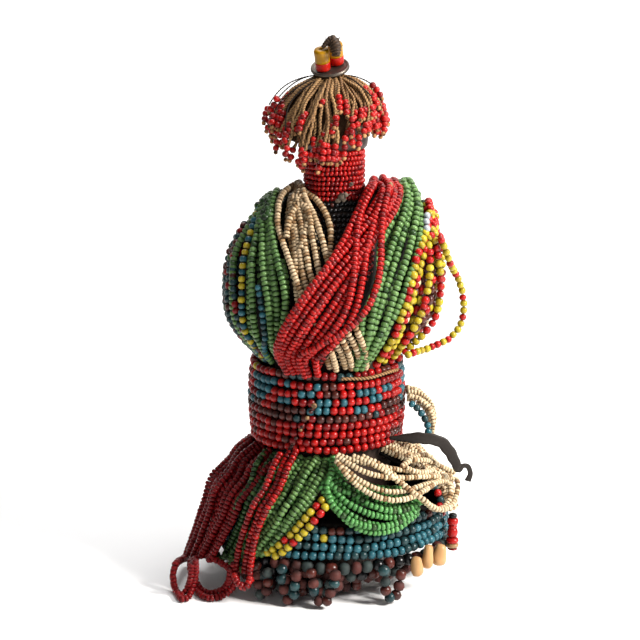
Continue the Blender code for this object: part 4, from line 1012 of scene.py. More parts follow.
def buildLeftGreen():
    names = ["greenGlass", "deepGreenGlass", "blueGlass", "yellowGlass", "tealGlass", "darkFibreAndShadeBacking"]
    blueYellow = mixOf(names, {"yellowGlass": 0.5, "blueGlass": 0.5}, 0.0,
                       ["yellowGlass", "yellowGlass", "blueGlass", "yellowGlass", "blueGlass"], 0.15)
    darkBlue = mixOf(names, {"tealGlass": 0.65, "blueGlass": 0.35})
    values = {"bead": 0.0040, "pitch": 0.0027, "strands": 7, "levels": (2,), "behind": 9, "wander": 0.3,
              "pick": mixOf(names, {"greenGlass": 0.9, "deepGreenGlass": 0.1}, 0.3),
              "knob": (0.0024, 0.0040), "knobSink": 0.0012}
    courses = [
        {"at": ((272, 202), (277, 217), (280, 250), (284, 276), (289, 294), (289, 311), (284, 330),
                (283, 350))},
        {"at": ((270, 201), (274, 221), (276, 250), (274, 276), (276, 299), (279, 317), (281, 333),
                (280, 352)), "sink": 0.3},
        {"at": ((266, 204), (268, 222), (264, 242), (264, 262), (266, 285), (270, 305), (274, 323),
                (277, 342), (277, 356))},
        {"at": ((262, 208), (262, 221), (257, 239), (253, 256), (252, 279), (254, 302), (258, 325),
                (264, 346), (268, 358))},
        {"at": ((258, 209), (255, 224), (250, 238), (245, 253), (242, 276), (241, 294), (243, 314),
                (248, 330), (255, 348)),
         "pick": blueYellow, "bead": 0.0040, "pitch": 0.0037, "profile": roundProfile},
        {"at": ((258, 212), (247, 226), (239, 240), (234, 256), (232, 276), (233, 299), (237, 320),
                (243, 336), (253, 353))},
        {"at": ((265, 206), (271, 228), (270, 250), (269, 276), (271, 297), (273, 315), (274, 335),
                (272, 356)), "sink": 0.6},
        {"at": ((260, 211), (258, 231), (247, 262), (246, 290), (249, 312), (256, 336), (262, 356)),
         "sink": 0.7},
        {"at": ((258, 285), (261, 305), (263, 320), (265, 338), (267, 357)), "pick": darkBlue, "bead": 0.0038,
         "pitch": 0.0035, "profile": roundProfile, "over": False},
        {"at": ((279, 254), (283, 276), (284, 299), (281, 320), (282, 345)), "sink": 0.8, "over": False},
    ]
    random = np.random.default_rng(22)
    shape = layHank(torsoPoint, (whiteGreen, greenMixed), names, courses, values, random, over=True)
    # the dark bead ends bunched where the strands are tied over the shoulder
    knobs = ((256, 204), (262, 198), (269, 195), (275, 199), (259, 212), (266, 206), (273, 207), (264, 214),
             (271, 215), (258, 220))
    spots = underPixels(torsoPoint, unlifted, 0.0, [knobs])[0]
    places = lifted(torsoPoint, spots[:, 0], spots[:, 1], np.full(len(spots), -values["knobSink"]))
    deep = names.index("deepGreenGlass")
    addBeads(shape, [(place, random.normal(0, 1, 3), *values["knob"], deep,
                      random.uniform(0.1, 0.8)) for place in places],
             roundProfile, 12, random)
    makePiece(shape, "leftGreenStrands", names, ["left_green_strands"], "green_glass")


def buildLeftMixed():
    names = ["tealGlass", "deepRedGlass", "brownGlass", "deepGreenGlass", "darkFibreAndShadeBacking"]
    shares = {"tealGlass": 0.45, "deepRedGlass": 0.12, "brownGlass": 0.23, "deepGreenGlass": 0.2}
    pattern = ["tealGlass", "tealGlass", "deepRedGlass", "brownGlass"]
    values = {"bead": 0.0041, "pitch": 0.0038, "strands": 4, "levels": (0, 1), "wander": 0.3,
              "profile": roundProfile, "sides": 10, "pick": mixOf(names, shares, 0.0, pattern, 0.5)}
    shape = newShape()
    addHank(shape, torsoPoint, (greenMixed, mixedEnd), names, values, np.random.default_rng(23))
    makePiece(shape, "leftMixedStrands", names, ["left_mixed_strands"], "dark_glass")


def buildRightGreen():
    names = ["greenGlass", "deepGreenGlass", "darkFibreAndShadeBacking"]
    values = {"bead": 0.0042, "pitch": 0.0029, "strands": 5, "levels": (2,), "behind": 5, "wander": 0.35,
              "pick": mixOf(names, {"greenGlass": 0.92, "deepGreenGlass": 0.08}, 0.3)}
    courses = [
        {"at": ((399, 180), (398, 197), (391, 213), (383, 233), (374, 252), (370, 270), (368, 288),
                (363, 306), (359, 322), (358, 338), (362, 356)), "sink": 0.3},
        {"at": ((403, 181), (404, 200), (400, 218), (393, 236), (385, 256), (380, 276), (376, 297),
                (371, 315), (366, 332), (365, 350))},
        {"at": ((407, 181), (409, 200), (407, 217), (402, 235), (396, 253), (390, 271), (385, 291),
                (379, 309), (373, 327), (368, 346)), "sink": 0.3},
        {"at": ((411, 183), (416, 200), (413, 224), (408, 245), (402, 265), (396, 285), (389, 305),
                (382, 325), (375, 344)),
         "sink": -0.1},
        {"at": ((413, 186), (422, 204), (421, 226), (417, 248), (412, 268), (405, 289), (397, 309),
                (388, 330)),
         "sink": 0.2},
        {"at": ((400, 184), (398, 205), (394, 222), (388, 240), (380, 258), (376, 278), (371, 297),
                (367, 315), (364, 335)),
         "sink": 1.1},
    ]
    shape = layHank(torsoPoint, (greenInner, greenYellow), names, courses, values, np.random.default_rng(24),
                    over=True)
    makePiece(shape, "rightGreenStrands", names, ["right_green_strands"], "green_glass")


def buildRightYellow():
    names = ["yellowGlass", "redGlass", "greyGlass", "ivoryGlass", "brownGlass", "darkFibreAndShadeBacking"]
    pattern = ["yellowGlass", "yellowGlass", "yellowGlass", "redGlass", "redGlass"]
    bright = mixOf(names, {"yellowGlass": 0.55, "redGlass": 0.45}, 0.0, pattern, 0.25)
    sunk = mixOf(names, {"yellowGlass": 0.22, "redGlass": 0.22, "brownGlass": 0.46, "ivoryGlass": 0.1})
    faceted = mixOf(names, {"greyGlass": 0.55, "ivoryGlass": 0.25, "yellowGlass": 0.2})
    values = {"bead": 0.0044, "pitch": 0.0040, "strands": 6, "levels": (1,), "wander": 0.3,
              "profile": roundProfile, "tracedProfile": roundProfile, "pick": lambda random,
              layer=0: (sunk if layer else bright)(random)}
    courses = [
        {"at": ((424, 236), (421, 246), (417, 257), (414, 272), (410, 289), (406, 305), (400, 320),
                (395, 336), (388, 347),
                (380, 359), (375, 368)), "bead": 0.0047, "pitch": 0.0043, "sink": -0.1},
        {"at": ((428, 232), (423, 258), (420, 272), (417, 286), (414, 300), (408, 315), (400, 330),
                (393, 344), (387, 362)),
         "bead": 0.0042, "sink": 0.4},
        {"at": ((429, 240), (430, 257), (430, 271), (430, 285), (427, 300), (421, 314), (413, 328),
                (405, 340), (396, 352), (391, 365)), "bead": 0.0045, "pitch": 0.0042, "sink": 0.0},
        {"at": ((434, 238), (438, 252), (439, 267), (440, 283), (441, 298), (437, 313), (433, 328),
                (424, 341), (414, 351), (404, 361)), "bead": 0.0045, "pitch": 0.0042, "sink": -0.1},
        {"at": ((443, 240), (446, 260), (447, 281), (445, 298), (441, 315)), "sink": 0.3, "over": False,
         "toBelt": False},
        {"at": ((428, 211), (425, 219), (425, 226), (426, 233)), "pick": faceted, "bead": 0.0042,
         "pitch": 0.0038, "sink": -0.3, "over": False, "toBelt": False},
        {"at": ((435, 216), (433, 223), (431, 231), (431, 240)), "bead": 0.0046, "sink": -0.2, "over": False,
         "toBelt": False},
        {"at": ((437, 230), (440, 237), (443, 245)), "bead": 0.0046, "sink": -0.1, "over": False,
         "toBelt": False},
    ]
    shape = layHank(torsoPoint, (greenYellow, yellowEnd), names, courses, values, np.random.default_rng(25),
                    over=True)
    makePiece(shape, "rightYellowStrands", names, ["right_yellow_strands"], "yellow_glass")


def buildSash():
    names = ["redGlass", "deepRedGlass", "tanGlass", "darkFibreAndShadeBacking"]
    values = {"bead": 0.0039, "pitch": 0.0024, "strands": 7, "levels": (1,), "behind": 8, "layerDrop": 1.3,
              "liningDepth": 1.25, "wander": 0.4, "pick": mixOf(names, {"redGlass": 0.8, "deepRedGlass": 0.2},
                                                                0.6),
              "liftFrom": 75, "liftOver": 40, "lift": 1.45, "knob": (0.0016, 0.0024)}

    def liftAt(angle, along):
        share = np.clip((math.radians(values["liftFrom"]) - angle) / math.radians(values["liftOver"]), 0.0,
                        1.0)
        return share * share * (3 - 2 * share) * values["lift"] * seed

    courses = [
        {"at": ((372, 178), (362, 184), (355, 193), (353, 206), (352, 224), (345, 240), (335, 255),
                (322, 272), (308, 290), (297, 305), (288, 320), (280, 338), (276, 355)), "sink": 0.1},
        {"at": ((374, 180), (361, 188), (356, 200), (356, 213), (356, 230), (355, 250), (354, 271),
                (353, 285), (351, 299),
                (346, 316), (338, 328), (328, 338), (315, 349), (305, 360)), "sink": -0.1},
        {"at": ((376, 181), (366, 190), (365, 213), (364, 242), (363, 271), (361, 294), (357, 311),
                (350, 328), (339, 340), (328, 350), (316, 361))},
        {"at": ((384, 181), (378, 192), (378, 207), (380, 224), (379, 239), (381, 256), (381, 271),
                (377, 288), (371, 305),
                (362, 318), (352, 328), (340, 335), (327, 341), (313, 348), (300, 356)), "sink": -0.3},
        {"at": ((396, 182), (399, 198), (393, 212), (384, 225), (372, 238), (357, 255), (342, 272),
                (328, 290), (316, 308), (305, 326), (294, 345), (287, 361)), "sink": 0.1},
        {"at": ((390, 180), (393, 194), (387, 208), (378, 220), (366, 234), (351, 250), (336, 268),
                (322, 286), (310, 304), (299, 322), (289, 341), (281, 359)), "sink": 0.3},
        {"at": ((382, 178), (385, 191), (381, 202), (371, 216), (360, 229), (346, 245), (331, 263),
                (317, 281), (305, 299), (294, 317), (284, 336), (278, 355)), "sink": 0.1},
        {"at": ((378, 180), (371, 190), (369, 204), (362, 219), (350, 234), (338, 251), (325, 270),
                (312, 288), (301, 306), (291, 325), (285, 342), (283, 358)), "sink": 0.5},
        {"at": ((388, 182), (388, 200), (377, 226), (362, 248), (348, 266), (334, 284), (322, 303),
                (311, 322), (300, 342), (292, 360)), "sink": 0.4},
        {"at": ((393, 184), (391, 204), (383, 220), (375, 234), (366, 250), (354, 268), (343, 288),
                (331, 308), (318, 328), (306, 346), (298, 360)), "sink": 0.3},
        {"at": ((372, 232), (366, 252), (358, 272), (348, 293), (336, 314), (324, 333), (313, 351)),
         "sink": 0.5, "over": False},
    ]
    random = np.random.default_rng(26)
    shape = layHank(torsoPoint, (redInner, redGreen), names, courses, values, random, liftAt, over=True)
    # a pale bead that shows on top of the shoulder
    spot = underPixels(torsoPoint, liftAt, 0.0, [((391, 184),)])[0]
    place = lifted(torsoPoint, spot[:, 0], spot[:, 1], liftAt(spot[:, 0], spot[:, 1]))[0]
    pale = names.index("tanGlass")
    addBeads(shape, [(place, (1, 0, 0.4), *values["knob"], pale, 0.4)], roundProfile, 10, random)
    makePiece(shape, "redShoulderStrands", names, ["red_shoulder_strands"], "red_glass")


# hanks, swags and rows of the skirt; an edge runs from the belt down
skirtBackRed = ((-98, 0), (-97, 0.15), (-96, 0.3), (-94, 0.5), (-90, 0.7), (-86, 0.9))
skirtBackRedRound = tuple((angle + 360, along) for angle, along in skirtBackRed)
skirtRedGreen = ((-38, 0), (-42, 0.15), (-47, 0.3), (-53, 0.5), (-58, 0.7), (-62, 0.88))
skirtGreenSwag = ((5, 0), (-2, 0.15), (-8, 0.3), (-14, 0.44), (-22, 0.56), (-30, 0.65))
swagTop = ((14, 0), (15, 0.1), (21, 0.19), (33, 0.25), (46, 0.26), (57, 0.22))
swagBottom = ((7, 0), (1, 0.15), (3, 0.34), (15, 0.47), (35, 0.49), (57, 0.36))
sideWhiteFront = ((50, 0), (56, 0.08), (61, 0.17), (65, 0.27), (67, 0.38), (69, 0.5))
sideWhiteBack = ((105, 0), (106, 0.12), (107, 0.25), (108, 0.38), (109, 0.5), (110, 0.6))
backMixedGreen = ((150, 0), (151, 0.12), (152, 0.27), (153, 0.42), (154, 0.54), (155, 0.64))
backGreenRed = ((205, 0), (206, 0.12), (208, 0.27), (210, 0.42), (212, 0.56), (214, 0.66))


def skirtLift(over=0.0, splay=0.0, thickness=1.5):
    # how far strands stand off the skirt: their thickness is reached a little way under the belt
    start, span = 0.18, 0.18

    def liftAt(angle, along):
        share = np.clip((along - start) / span, 0.0, 1.0)
        return over + (thickness * seed + hiddenGap) * share * share * (3 - 2 * share) + splay * along * along

    return liftAt


def drawnWave(random, low, high, ways):
    return np.sin(2 * math.pi * random.uniform(low, high) * ways + random.uniform(0, 6))


def fanTraced(first, second, number, random, spread, **extra):
    # a fan of strands between two courses of pixels; they sway by a pixel or so and are piled by turns
    sway = 1.5
    courses = []
    for k, pixels in enumerate(fanCourses(first, second, number)):
        ways = np.linspace(0, 1, len(pixels))
        pixels = pixels + (sway * drawnWave(random, 0.5, 1.3, ways))[:, None]
        courses.append({"at": [tuple(pixel) for pixel in pixels],
                        "sink": spread * ((k * goldenShare + 0.2) % 1.0), **extra})
    return courses


def buildRedSkirt():
    names = ["wineGlass", "deepRedGlass", "redGlass", "darkFibreAndShadeBacking"]
    values = {"bead": 0.0038, "pitch": 0.0023, "strands": 10, "levels": (1,), "wander": 0.2, "layerDrop": 1.0,
              "floor": 0.0021, "end": 0.92, "pick": mixOf(names, {"wineGlass": 0.95, "deepRedGlass": 0.05})}
    liftAt = skirtLift(splay=0.017)
    random = np.random.default_rng(40)
    left = ((238, 438), (217, 458), (203, 480), (194, 502), (186, 526), (179, 545), (176, 554))
    right = ((285, 440), (261, 468), (245, 496), (230, 524), (218, 546), (212, 556), (208, 562))
    courses = fanTraced(left, right, 8, random, 0.8)
    tails = {0: ((174, 568), (173, 580), (176, 591), (182, 599), (188, 597), (193, 585), (196, 571),
                 (195, 558)),
             1: ((176, 563), (173, 576), (175, 588), (181, 595), (187, 589), (191, 576), (192, 562)),
             3: ((190, 565), (192, 580), (198, 592), (209, 598), (222, 596), (232, 588), (237, 574),
                 (232, 562)),
             4: ((194, 562), (195, 577), (200, 588), (210, 593), (221, 590), (229, 580), (230, 566)),
             7: ((208, 556), (216, 560), (226, 566), (234, 574))}
    for number, tail in tails.items():
        courses[number]["tail"] = tail
        courses[number]["tailY"] = np.linspace(-0.034, -0.050, len(tail))
    shape = layHank(skirtPoint, (skirtBackRed, skirtRedGreen), names, courses, values, random, liftAt)
    makePiece(shape, "redSkirtStrands", names, ["red_skirt_strands"], "red_glass")

    values["pick"] = mixOf(names, {"deepRedGlass": 0.5, "redGlass": 0.5})
    liftAt = skirtLift(over=1.8 * seed, thickness=1.1)
    courses = [
        {"at": ((281, 452), (268, 480), (252, 508), (243, 532), (237, 556), (234, 572)),
         "tail": ((236, 580), (241, 586), (247, 585), (252, 577)), "tailY": -0.056},
        {"at": ((289, 450), (276, 482), (260, 509), (250, 534), (245, 558), (242, 574)), "sink": 0.3},
        {"at": ((297, 449), (283, 480), (267, 508), (257, 532), (252, 554), (250, 572)),
         "tail": ((249, 582), (245, 588), (240, 584)), "tailY": -0.057},
    ]
    shape = newShape()
    addTraced(shape, skirtPoint, courses, values, np.random.default_rng(44), liftAt)
    makePiece(shape, "redFrontStrands", names, ["red_front_strands"], "red_glass")


def buildGreenSkirt():
    names = ["greenGlass", "deepGreenGlass", "yellowGlass", "redGlass", "darkFibreAndShadeBacking", "swagGreen"]
    bright = mixOf(names, {"greenGlass": 0.94, "deepGreenGlass": 0.06})
    dim = mixOf(names, {"greenGlass": 0.1, "deepGreenGlass": 0.9})
    warm = mixOf(names, {"yellowGlass": 0.6, "redGlass": 0.4})
    values = {"bead": 0.0039, "pitch": 0.0026, "strands": 8, "levels": (1,), "wander": 0.25, "layerDrop": 1.0,
              "pick": dim}
    liftAt = skirtLift()
    random = np.random.default_rng(41)
    courses = fanTraced(((268, 450), (252, 478), (237, 506), (224, 531), (214, 552)),
                        ((283, 452), (266, 484), (250, 512), (236, 540), (226, 560)), 3, random, 0.6)
    courses += fanTraced(((302, 453), (283, 484), (264, 516), (246, 543), (232, 562)),
                         ((331, 456), (322, 478), (311, 500), (291, 528), (263, 554)), 7, random, 0.9,
                         pick=bright)
    courses += [
        {"at": ((327, 504), (318, 517), (306, 530), (294, 542), (282, 552), (268, 560)), "bead": 0.0045,
         "pitch": 0.0043, "pick": warm, "profile": roundProfile, "sink": -0.1},
        {"at": ((324, 498), (312, 511), (300, 524), (288, 537), (276, 547), (262, 555)), "bead": 0.0045,
         "pitch": 0.0043, "pick": warm, "profile": roundProfile, "sink": 0.1},
    ]
    turns = ((214, 552, 226, 560), (232, 562, 246, 563))
    for k, (ax, ay, bx, by) in enumerate(turns):
        courses.append({"at": ((ax, ay - 8), (ax - 2, ay + 2), (0.5 * (ax + bx), by + 7), (bx + 2, by + 1),
                               (bx, by - 8)),
                        "pick": bright if k else dim})
    shape = layHank(skirtPoint, (skirtRedGreen, skirtGreenSwag), names, courses, values, random, liftAt)
    makePiece(shape, "greenSkirtStrands", names, ["green_skirt_strands"], "green_glass")

    values = {"bead": 0.0038, "pitch": 0.0026, "strands": 9, "levels": (),
              "pick": mixOf(names, {"swagGreen": 0.92, "deepGreenGlass": 0.08})}
    courses = fanTraced(((330, 458), (343, 473), (358, 483), (378, 491), (400, 495), (418, 497)),
                        ((322, 487), (334, 507), (352, 524), (376, 533), (402, 529), (421, 510)), 6, random,
                        0.9)
    courses += [
        {"at": ((333, 456), (332, 470), (327, 486), (330, 500), (340, 513), (356, 523), (378, 527),
                (402, 520), (420, 505)), "sink": -0.2},
        {"at": ((328, 457), (338, 468), (352, 477), (366, 484), (384, 488), (402, 488), (416, 490)),
         "sink": 0.2},
        {"at": ((326, 480), (338, 489), (352, 493), (372, 505), (392, 511), (410, 508), (422, 500)),
         "sink": -0.2},
    ]
    shape = layHank(skirtPoint, (swagTop, swagBottom), names, courses, values, random, liftAt)
    makePiece(shape, "greenSkirtSwags", names, ["green_skirt_swags"], "green_glass")


def buildWhiteSwags():
    names = ["ivoryGlass", "tanGlass", "blueGlass", "redGlass", "tealGlass"]
    dark = mixOf(names, {"tealGlass": 0.4, "redGlass": 0.35, "blueGlass": 0.25})
    values = {"bead": 0.0032, "pitch": 0.0021, "pick": mixOf(names, {"ivoryGlass": 0.82, "tanGlass": 0.18})}
    courses = [
        {"at": ((337, 454), (352, 460), (370, 465), (388, 467), (405, 468), (425, 472), (445, 477),
                (456, 479))},
        {"at": ((336, 456), (350, 467), (368, 475), (386, 480), (404, 479), (420, 474), (438, 473),
                (452, 476)), "sink": -0.3},
        {"at": ((336, 458), (348, 472), (364, 484), (382, 492), (398, 496), (410, 492), (420, 482),
                (432, 477), (450, 480)),
         "sink": 0.2},
        {"at": ((336, 460), (346, 477), (362, 491), (380, 499), (396, 504), (408, 502), (418, 494),
                (428, 483), (440, 479))},
        {"at": ((352, 457), (372, 462), (392, 470), (406, 484), (416, 500), (430, 513), (444, 517),
                (453, 508), (456, 492), (455, 478)), "sink": -0.4},
        {"at": ((362, 455), (384, 460), (400, 472), (411, 490), (422, 507), (437, 519), (449, 513),
                (453, 496), (450, 482)),
         "sink": 0.1},
        {"at": ((400, 468), (404, 456), (416, 450), (430, 453), (439, 463), (434, 474), (421, 477),
                (408, 474), (400, 466)),
         "sink": -0.6},
        {"at": ((410, 462), (420, 456), (430, 462), (440, 470), (452, 474)), "sink": -0.9},
        {"at": ((437, 482), (442, 491), (446, 501), (443, 510)), "bead": 0.0042, "pitch": 0.0042,
         "pick": dark, "profile": roundProfile, "sink": 0.6},
    ]
    liftAt = skirtLift(over=1.9 * seed)
    shape = newShape()
    addTraced(shape, skirtPoint, courses, values, np.random.default_rng(43), liftAt)
    makePiece(shape, "whiteSkirtSwags", names, ["white_skirt_swags"], "white_glass")


def buildBackHanks():
    red = ["wineGlass", "deepRedGlass", "redGlass", "darkFibreAndShadeBacking"]
    green = ["greenGlass", "deepGreenGlass", "darkFibreAndShadeBacking"]
    white = ["ivoryGlass", "tanGlass", "darkFibreAndShadeBacking"]
    dark = ["tealGlass", "brownGlass", "deepRedGlass", "deepGreenGlass", "darkFibreAndShadeBacking"]
    hanks = [
        ("whiteSideStrands", "white_side_strands", "white_glass", white, {"ivoryGlass": 0.7, "tanGlass": 0.3},
         sideWhiteFront, sideWhiteBack, skirtLift(thickness=1.2),
         {"bead": 0.0031, "pitch": 0.0019, "strands": 12}),
        ("mixedBackStrands", "mixed_back_strands", "dark_glass", dark,
         {"tealGlass": 0.4, "brownGlass": 0.2, "deepRedGlass": 0.2, "deepGreenGlass": 0.2},
         sideWhiteBack, backMixedGreen, skirtLift(thickness=1.3),
         {"bead": 0.0040, "pitch": 0.0036, "strands": 10, "profile": roundProfile}),
        ("greenBackStrands", "green_back_strands", "green_glass", green,
         {"greenGlass": 0.7, "deepGreenGlass": 0.3},
         backMixedGreen, backGreenRed, skirtLift(), {"bead": 0.0034, "pitch": 0.0021, "strands": 15}),
        ("redBackStrands", "red_back_strands", "red_glass", red,
         {"wineGlass": 0.5, "redGlass": 0.3, "deepRedGlass": 0.2},
         backGreenRed, skirtBackRedRound, skirtLift(), {"bead": 0.0034, "pitch": 0.0020, "strands": 13}),
    ]
    for number, (name, node, slot, names, shares, first, second, liftAt, values) in enumerate(hanks):
        values.update(levels=(0,), wander=0.25, sides=7, pick=mixOf(names, shares))
        shape = newShape()
        addHank(shape, skirtPoint, (first, second), names, values, np.random.default_rng(50 + number), liftAt)
        makePiece(shape, name, names, [node], slot)


def buildSkirtRows():
    values = {"size": 0.0049, "pitch": 0.0045, "firstCrest": 0.955, "crestGrowth": 0.035, "sag": 0.0008}
    random = np.random.default_rng(61)
    names = ["blueGlass", "tealGlass", "brownGlass", "yellowGlass", "redGlass", "darkFibreAndShadeBacking", "dullRedGlass"]
    shape = newShape()
    shares = [{"tealGlass": 0.55, "blueGlass": 0.15, "brownGlass": 0.25, "dullRedGlass": 0.05},
              {"tealGlass": 0.50, "blueGlass": 0.38, "yellowGlass": 0.05, "redGlass": 0.07},
              {"blueGlass": 0.88, "tealGlass": 0.12}, {"blueGlass": 0.80, "tealGlass": 0.20}]
    for row in range(skirtRows):
        height = skirtRowsTop - (row + 0.5) * skirtBead
        crest = skirtHalfDepth * (values["firstCrest"] + values["crestGrowth"] * (row + 0.5) / skirtRows)
        reach = crest - 0.5 * skirtBead
        wide = crest * 67 / 60 - 0.5 * skirtBead
        pick = glassPattern(random, shares[row], names)
        addBeads(shape, ringBeads(wide, reach, height, values["size"], values["pitch"], pick, random,
                                  sag=values["sag"]),
                 roundProfile, 12, random)
    # a near-black ring behind the beads, painted shade in the gaps between them
    outer, inner = values["firstCrest"] * skirtHalfDepth - 0.0044, bodyRadius + hiddenGap
    high, low = skirtRowsTop - 0.0006, skirtRowsTop - skirtRows * skirtBead + 0.0006
    addTurned(shape, [(outer, high), (outer, low), (inner, low), (inner, high)], names.index("darkFibreAndShadeBacking"), 64,
              Matrix.Diagonal((skirtStretch, 1, 1, 1)), closed=True)
    makePiece(shape, "blueSkirtRows", names, ["blue_skirt_rows"], "teal_glass")


def buildHem():
    # a row is its drop, how far in it lies, first and last angle and sag; a loop is its angle and half width
    values = {"size": 0.0069, "pitch": 0.0062, "loopSize": 0.0060, "loopPitch": 0.0055,
              "rows": ((0.0, 0.0, 180, 540, 0.0006), (0.0050, 0.0030, 180, 540, 0.0012),
                       (0.0100, 0.0030, -62, 8, 0.0016), (0.0142, 0.0060, -60, 2, 0.0016),
                       (0.0095, 0.0075, -75, 40, 0.0016), (0.0150, 0.0120, -60, 20, 0.0016)),
              "loops": ((-34, 0.0042), (-20.5, 0.0042), (-5, 0.0062), (27, 0.0058), (135, 0.0080),
                        (185, 0.0080)),
              "bunched": (1, 2, 3)}
    random = np.random.default_rng(71)
    names = ["dullRedGlass", "dullTealGlass", "blackGlass", "brownGlass", "tealGlass"]
    shares = {"dullRedGlass": 0.42, "dullTealGlass": 0.36, "blackGlass": 0.10, "brownGlass": 0.12}
    loopShares = {"dullRedGlass": 0.35, "dullTealGlass": 0.30, "tealGlass": 0.20, "brownGlass": 0.15}
    shape = newShape()
    wide, deep = skirtHalfWidth - 0.5 * hemBead, skirtHalfDepth - 0.5 * hemBead
    for drop, inward, start, end, sag in values["rows"]:
        pick = glassPattern(random, shares, names)
        beads = ringBeads(wide - inward, deep - inward, hemHeight - drop, values["size"], values["pitch"],
                          pick, random, start, end, sag=sag)
        addBeads(shape, beads, roundProfile, 14, random)
    makePiece(shape, "largeHemBeads", names, ["large_hem_beads"], "dark_glass")
    top, bottom = hemHeight + 0.2 * hemBead, 0.5 * loopBead + clear
    for number, (degrees, halfWidth) in enumerate(values["loops"], 1):
        middle = math.radians(degrees)
        outward = np.array([math.sin(middle), -math.cos(middle), 0.0])
        sideways = np.array([math.cos(middle), math.sin(middle), 0.0])
        centre = np.array([wide * math.sin(middle), -deep * math.cos(middle), top])
        centre = centre + outward * (0.5 * hemBead + 0.26 * loopBead + clear)
        turn = np.linspace(-0.5, 0.5, 40)[:, None] * math.pi
        path = centre + sideways * halfWidth * np.sin(turn) - np.array([0, 0,
                                                                        1.0]) * (top - bottom) * np.cos(turn)
        shape = newShape()
        pick = glassPattern(random, loopShares, names)
        courses = [(path, 0.05)]
        if number in values["bunched"]:
            courses.append((path * 0.5 + path.mean(axis=0) * 0.5 - outward * 0.0022, 0.06))
        for course, slack in courses:
            beads = stringBeads(course, values["loopSize"], values["loopPitch"], pick, random, slack)
            addBeads(shape, beads, roundProfile, 14, random)
        makePiece(shape, f"hemLoop{number}", names, [f"hem_loop_{number}"], "dark_glass")


# hair of twisted cords
hairRadius, hairThickness, hairShift = 0.0325, 0.0038, -0.0045
hairTop = headTop + hairThickness + 1.8 * hiddenGap
hairAngles = (-180, -90, -45, 0, 40, 90, 180)
hairTips = (0.240, 0.243, 0.232, 0.230, 0.244, 0.247, 0.240)


def hairPoint(angle, share, depth):
    turn = share * math.pi / 2
    degrees = (np.degrees(angle) + 180) % 360 - 180
    tip = smoothThrough(hairAngles, hairTips, degrees)
    radius = (hairRadius - depth) * np.sin(turn)
    height = tip + (hairTop - depth - tip) * np.cos(turn)
    return np.stack([radius * np.sin(angle) + hairShift * share, -radius * np.cos(angle), height], -1)


